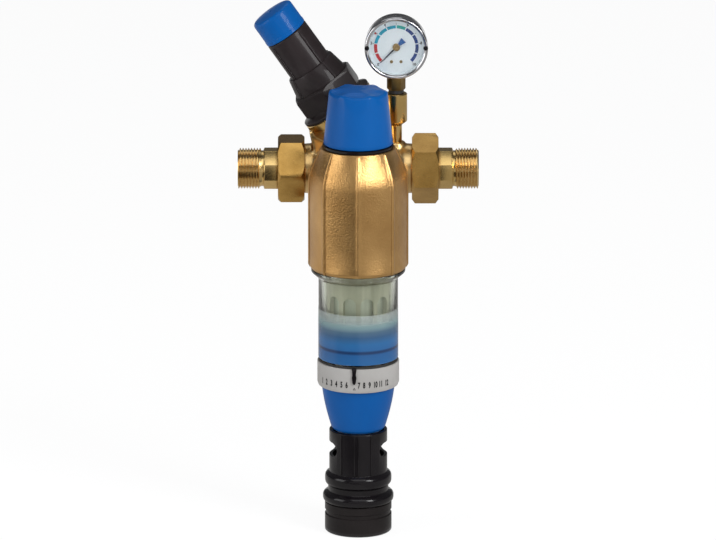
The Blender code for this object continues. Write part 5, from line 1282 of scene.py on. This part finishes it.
stem_cone = turned_form(
    "stem_cone", RISER_FOOT, UP,
    rings_mm((66.5, 6.6), (68.0, 7.9), (77.0, 7.9), (78.4, 6.6)),
    sides=64,
)
carve(stem_hex, stem_cone, operation="INTERSECT")
soften(stem_hex, 0.3 * MM, 2)
merge(stem, stem_hex)
dark_brass = metal(
    "dark_brass", light=(0.30, 0.20, 0.07), dark=(0.16, 0.10, 0.035),
    patch=120.0, rough=(0.25, 0.4), grain=700.0, depth=0.00005,
)
dress(stem, dark_brass, "station", "nut_brass", "gauge_stem")

# Pressure gauge. A steel case with a chromed bezel, a glass and a printed white dial from 0 to
# 10, its band red, green and blue. The tube and the movement behind the dial turn the needle.
GAUGE_CENTRE = Vector((31.0 * MM, 0.0, 104.0 * MM))
chrome = metal(
    "chrome", light=(0.66, 0.66, 0.68), dark=(0.52, 0.52, 0.54),
    patch=50.0, rough=(0.05, 0.12), grain=500.0, depth=0.00001,
)
case_steel = metal(
    "case_steel", light=(0.30, 0.30, 0.31), dark=(0.20, 0.20, 0.21),
    patch=40.0, rough=(0.2, 0.32), grain=500.0, depth=0.00003,
)
case = turned_form(
    "gauge_case_pressing", GAUGE_CENTRE, FRONT,
    rings_mm(
        (-6.8, 1.0), (-8.0, 1.0), (-8.0, 22.6), (-7.5, 24.0), (-6.2, 24.9), (-4.5, 25.2),
        (10.0, 25.2), (10.0, 24.0), (-5.8, 24.0), (-6.8, 23.0),
    ),
    sides=112, hollow=True,
)
smooth(case, 30.0)
dress(case, case_steel, "station", "steel", "gauge_case")
bezel = turned_form(
    "gauge_bezel_ring", GAUGE_CENTRE, FRONT,
    rings_mm(
        (12.6, 25.5), (6.0, 25.5), (6.0, 26.0), (11.4, 26.0), (12.9, 25.8), (13.8, 25.2),
        (14.0, 24.6), (13.9, 23.9), (13.3, 23.2), (12.6, 22.8),
    ),
    sides=128, hollow=True,
)
smooth(bezel, 40.0)
dress(bezel, chrome, "station", "chrome", "gauge_bezel")
bezel_pins = []
for side in (-1, 1):
    bezel_pins.append(
        turned_form(
            "bezel_pin",
            GAUGE_CENTRE + Vector((side * 24.0 * MM, 0.0, 0.4 * MM)),
            FRONT,
            rings_mm((12.4, 1.9), (14.0, 1.9), (14.4, 1.5), (14.5, 0.4)),
            sides=24,
        )
    )
merge(*bezel_pins)
bezel_pins[0].name = "bezel_pins"
smooth(bezel_pins[0], 40.0)
dress(bezel_pins[0], gloss_black, "station", "black_plastic")
dial_white = moulding(
    "dial_white", light=(0.82, 0.88, 0.92), dark=(0.76, 0.83, 0.87),
    patch=60.0, rough=(0.4, 0.5), grain=700.0, depth=0.00001,
)
dial = turned_form(
    "gauge_dial_plate", GAUGE_CENTRE, FRONT,
    rings_mm((6.2, 1.2), (6.2, 23.7), (7.0, 23.7), (7.0, 1.2)),
    sides=112, hollow=True,
)
smooth(dial)
dress(dial, dial_white, "station", "dial_white", "gauge_dial")
wall = turned_form(
    "dial_wall", GAUGE_CENTRE, FRONT,
    rings_mm((7.1, 22.2), (7.1, 23.6), (10.4, 23.8), (10.4, 22.6)),
    sides=112, hollow=True,
)
smooth(wall)
dress(wall, dial_white, "station", "dial_white")


def on_dial(piece, angle, radius, proud):
    """Sets a flat print on the dial, at an angle clockwise from the top and a radius."""
    face = Matrix.Translation(GAUGE_CENTRE) @ Matrix.Rotation(math.radians(90), 4, "X")
    where = Matrix.Translation((radius * math.sin(angle), radius * math.cos(angle), proud))
    piece.data.transform(face @ where)
    piece.data.update()


def printed_arc(name, start, end, inner, outer, material):
    """A flat printed arc on the dial, from one angle to another, clockwise from the top."""
    steps = max(4, int(math.degrees(end - start) / 2))
    piece = blank(bpy.ops.mesh.primitive_plane_add, name, (1.0, outer - inner, 1.0))
    piece.data.name = name
    edit(piece)
    bpy.ops.mesh.select_all(action="SELECT")
    bpy.ops.mesh.bisect(plane_co=(-0.4999, 0.0, 0.0), plane_no=(1.0, 0.0, 0.0))
    for step in range(1, steps):
        bpy.ops.mesh.select_all(action="SELECT")
        bpy.ops.mesh.bisect(plane_co=(step / steps - 0.5, 0.0, 0.0), plane_no=(1.0, 0.0, 0.0))
    bpy.ops.mesh.select_all(action="SELECT")
    bpy.ops.mesh.extrude_region_move(TRANSFORM_OT_translate={"value": (0.0, 0.0, 0.08 * MM)})
    close_edit()
    for vert in piece.data.vertices:
        angle = start + (vert.co.x + 0.5) * (end - start)
        reach = (inner + outer) / 2 + vert.co.y
        vert.co.x, vert.co.y = reach * math.sin(angle), reach * math.cos(angle)
    piece.data.materials.append(material)
    on_dial(piece, 0.0, 0.0, 7.02 * MM)
    return piece


band_red, band_teal, band_green, band_navy = (
    moulding(name, light, dark, patch=200.0, rough=(0.4, 0.5), grain=700.0, depth=0.00001)
    for name, light, dark in (
        ("band_red", (0.62, 0.020, 0.030), (0.52, 0.016, 0.024)),
        ("band_teal", (0.010, 0.36, 0.52), (0.006, 0.30, 0.44)),
        ("band_green", (0.015, 0.40, 0.36), (0.010, 0.34, 0.30)),
        ("band_navy", (0.010, 0.050, 0.26), (0.008, 0.040, 0.20)),
    )
)
SCALE_START = -135
SCALE_STEP = 27
bands = []
for step, paint in enumerate([band_red] * 2 + [band_teal] * 3 + [band_green] + [band_navy] * 4):
    start = math.radians(SCALE_START + SCALE_STEP * step + 1.3)
    end = math.radians(SCALE_START + SCALE_STEP * (step + 1) - 1.3)
    bands.append(printed_arc(f"band_{step}", start, end, 15.6 * MM, 18.2 * MM, paint))
for tick in range(11):
    middle = math.radians(SCALE_START + SCALE_STEP * tick)
    start, end = middle - 0.006, middle + 0.006
    bands.append(printed_arc(f"tick_{tick}", start, end, 18.4 * MM, 20.0 * MM, print_black))
bands.append(
    printed_arc("set_mark", math.radians(-58), math.radians(-54), 19.6 * MM, 21.4 * MM, band_red)
)
for value in range(0, 11, 2):
    angle = math.radians(SCALE_START + SCALE_STEP * value)
    number = printed(f"value_{value}", str(value), 3.1 * MM, print_black, thick=0.04 * MM)
    on_dial(number, angle, 20.6 * MM if value else 20.9 * MM, 7.08 * MM)
    bands.append(number)
merge(bands[0], *bands[1:])
bands[0].name = "dial_print"
dress(bands[0], None, "station", "dial_white")
for index, side in enumerate((-1, 1)):
    screw_place = GAUGE_CENTRE + Vector((side * 3.9 * MM, 0.0, -12.4 * MM))
    screw = turned_form(
        f"dial_screw_{index}", screw_place, FRONT,
        rings_mm((7.0, 1.3), (7.3, 1.3), (7.6, 0.9)),
        sides=24,
    )
    slot_cut = turned_form(
        "screw_slot", screw_place, FRONT,
        rings_mm((7.35, 0.35), (8.0, 0.35)),
        sides=6,
    )
    carve(screw, slot_cut)
    smooth(screw)
    dress(screw, dark_brass, "station", "brass")

needle_ink = moulding(
    "needle_ink", light=(0.015, 0.022, 0.045), dark=(0.010, 0.014, 0.03),
    patch=90.0, rough=(0.35, 0.45), grain=700.0, depth=0.00001,
)
needle_blue = moulding(
    "needle_blue", light=(0.006, 0.10, 0.36), dark=(0.004, 0.08, 0.28),
    patch=90.0, rough=(0.35, 0.45), grain=700.0, depth=0.00001,
)


def needle_part(name, low, high, foot_width, tip_width, material):
    """A flat tapered blade along +Y, from low to high, as wide as given at each end."""
    middle = (low + high) / 2
    piece = blank(
        bpy.ops.mesh.primitive_plane_add,
        name,
        (foot_width, high - low, 1.0),
        location=(0.0, middle, 8.0 * MM),
    )
    edit(piece, "VERT")
    pick_verts(piece, lambda place: place.y > middle)
    bpy.ops.transform.resize(
        value=(tip_width / foot_width, 1.0, 1.0), center_override=(0.0, high, 8.0 * MM)
    )
    bpy.ops.mesh.select_mode(type="FACE")
    bpy.ops.mesh.select_all(action="SELECT")
    bpy.ops.mesh.extrude_region_move(TRANSFORM_OT_translate={"value": (0.0, 0.0, 0.6 * MM)})
    close_edit()
    piece.data.materials.append(material)
    return piece


needle = needle_part("gauge_needle_blade", -1.0 * MM, 18.4 * MM, 1.5 * MM, 0.5 * MM, needle_ink)
tail = needle_part("needle_tail", -8.4 * MM, -2.0 * MM, 5.2 * MM, 1.6 * MM, needle_blue)
hub = turned_form(
    "needle_hub", ORIGIN, UP,
    rings_mm((7.3, 3.0), (9.3, 3.0), (9.6, 2.6), (9.6, 1.2), (9.3, 0.8)),
    sides=48,
)
smooth(hub, 30.0)
hub.data.materials.append(dark_brass)
merge(needle, tail, hub)
needle.data.transform(Matrix.Rotation(math.radians(135), 4, "Z"))
on_dial(needle, 0.0, 0.0, 0.0)
dress(needle, None, "needle", "needle_black", "gauge_needle")
repaint(turned_brass, "gauge_movement", "bourdon_tube")

gauge_glass, tree = bare_material("gauge_glass")
place = tinted(tree, "ShaderNodeTexCoord")
dust = tinted(tree, "ShaderNodeTexNoise", Scale=120.0, Detail=3.0)
spread = tinted(tree, "ShaderNodeMapRange")
spread.inputs["To Min"].default_value = 0.02
spread.inputs["To Max"].default_value = 0.05
skin = tinted(tree, "ShaderNodeBsdfPrincipled", Roughness=0.03, IOR=1.45)
skin.inputs["Base Color"].default_value = (0.98, 0.99, 0.99, 1.0)
skin.inputs["Transmission Weight"].default_value = 1.0
out = tinted(tree, "ShaderNodeOutputMaterial")
wired(
    tree,
    (place, "Object", dust, "Vector"), (dust, "Fac", spread, "Value"),
    (spread, 0, skin, "Roughness"), (skin, 0, out, "Surface"),
)
glass = turned_form(
    "gauge_glass_disc", GAUGE_CENTRE, FRONT,
    rings_mm((10.9, 24.9), (12.3, 24.9)),
    sides=96,
)
smooth(glass)
dress(glass, gauge_glass, "station", "clear_glass", "gauge_window")
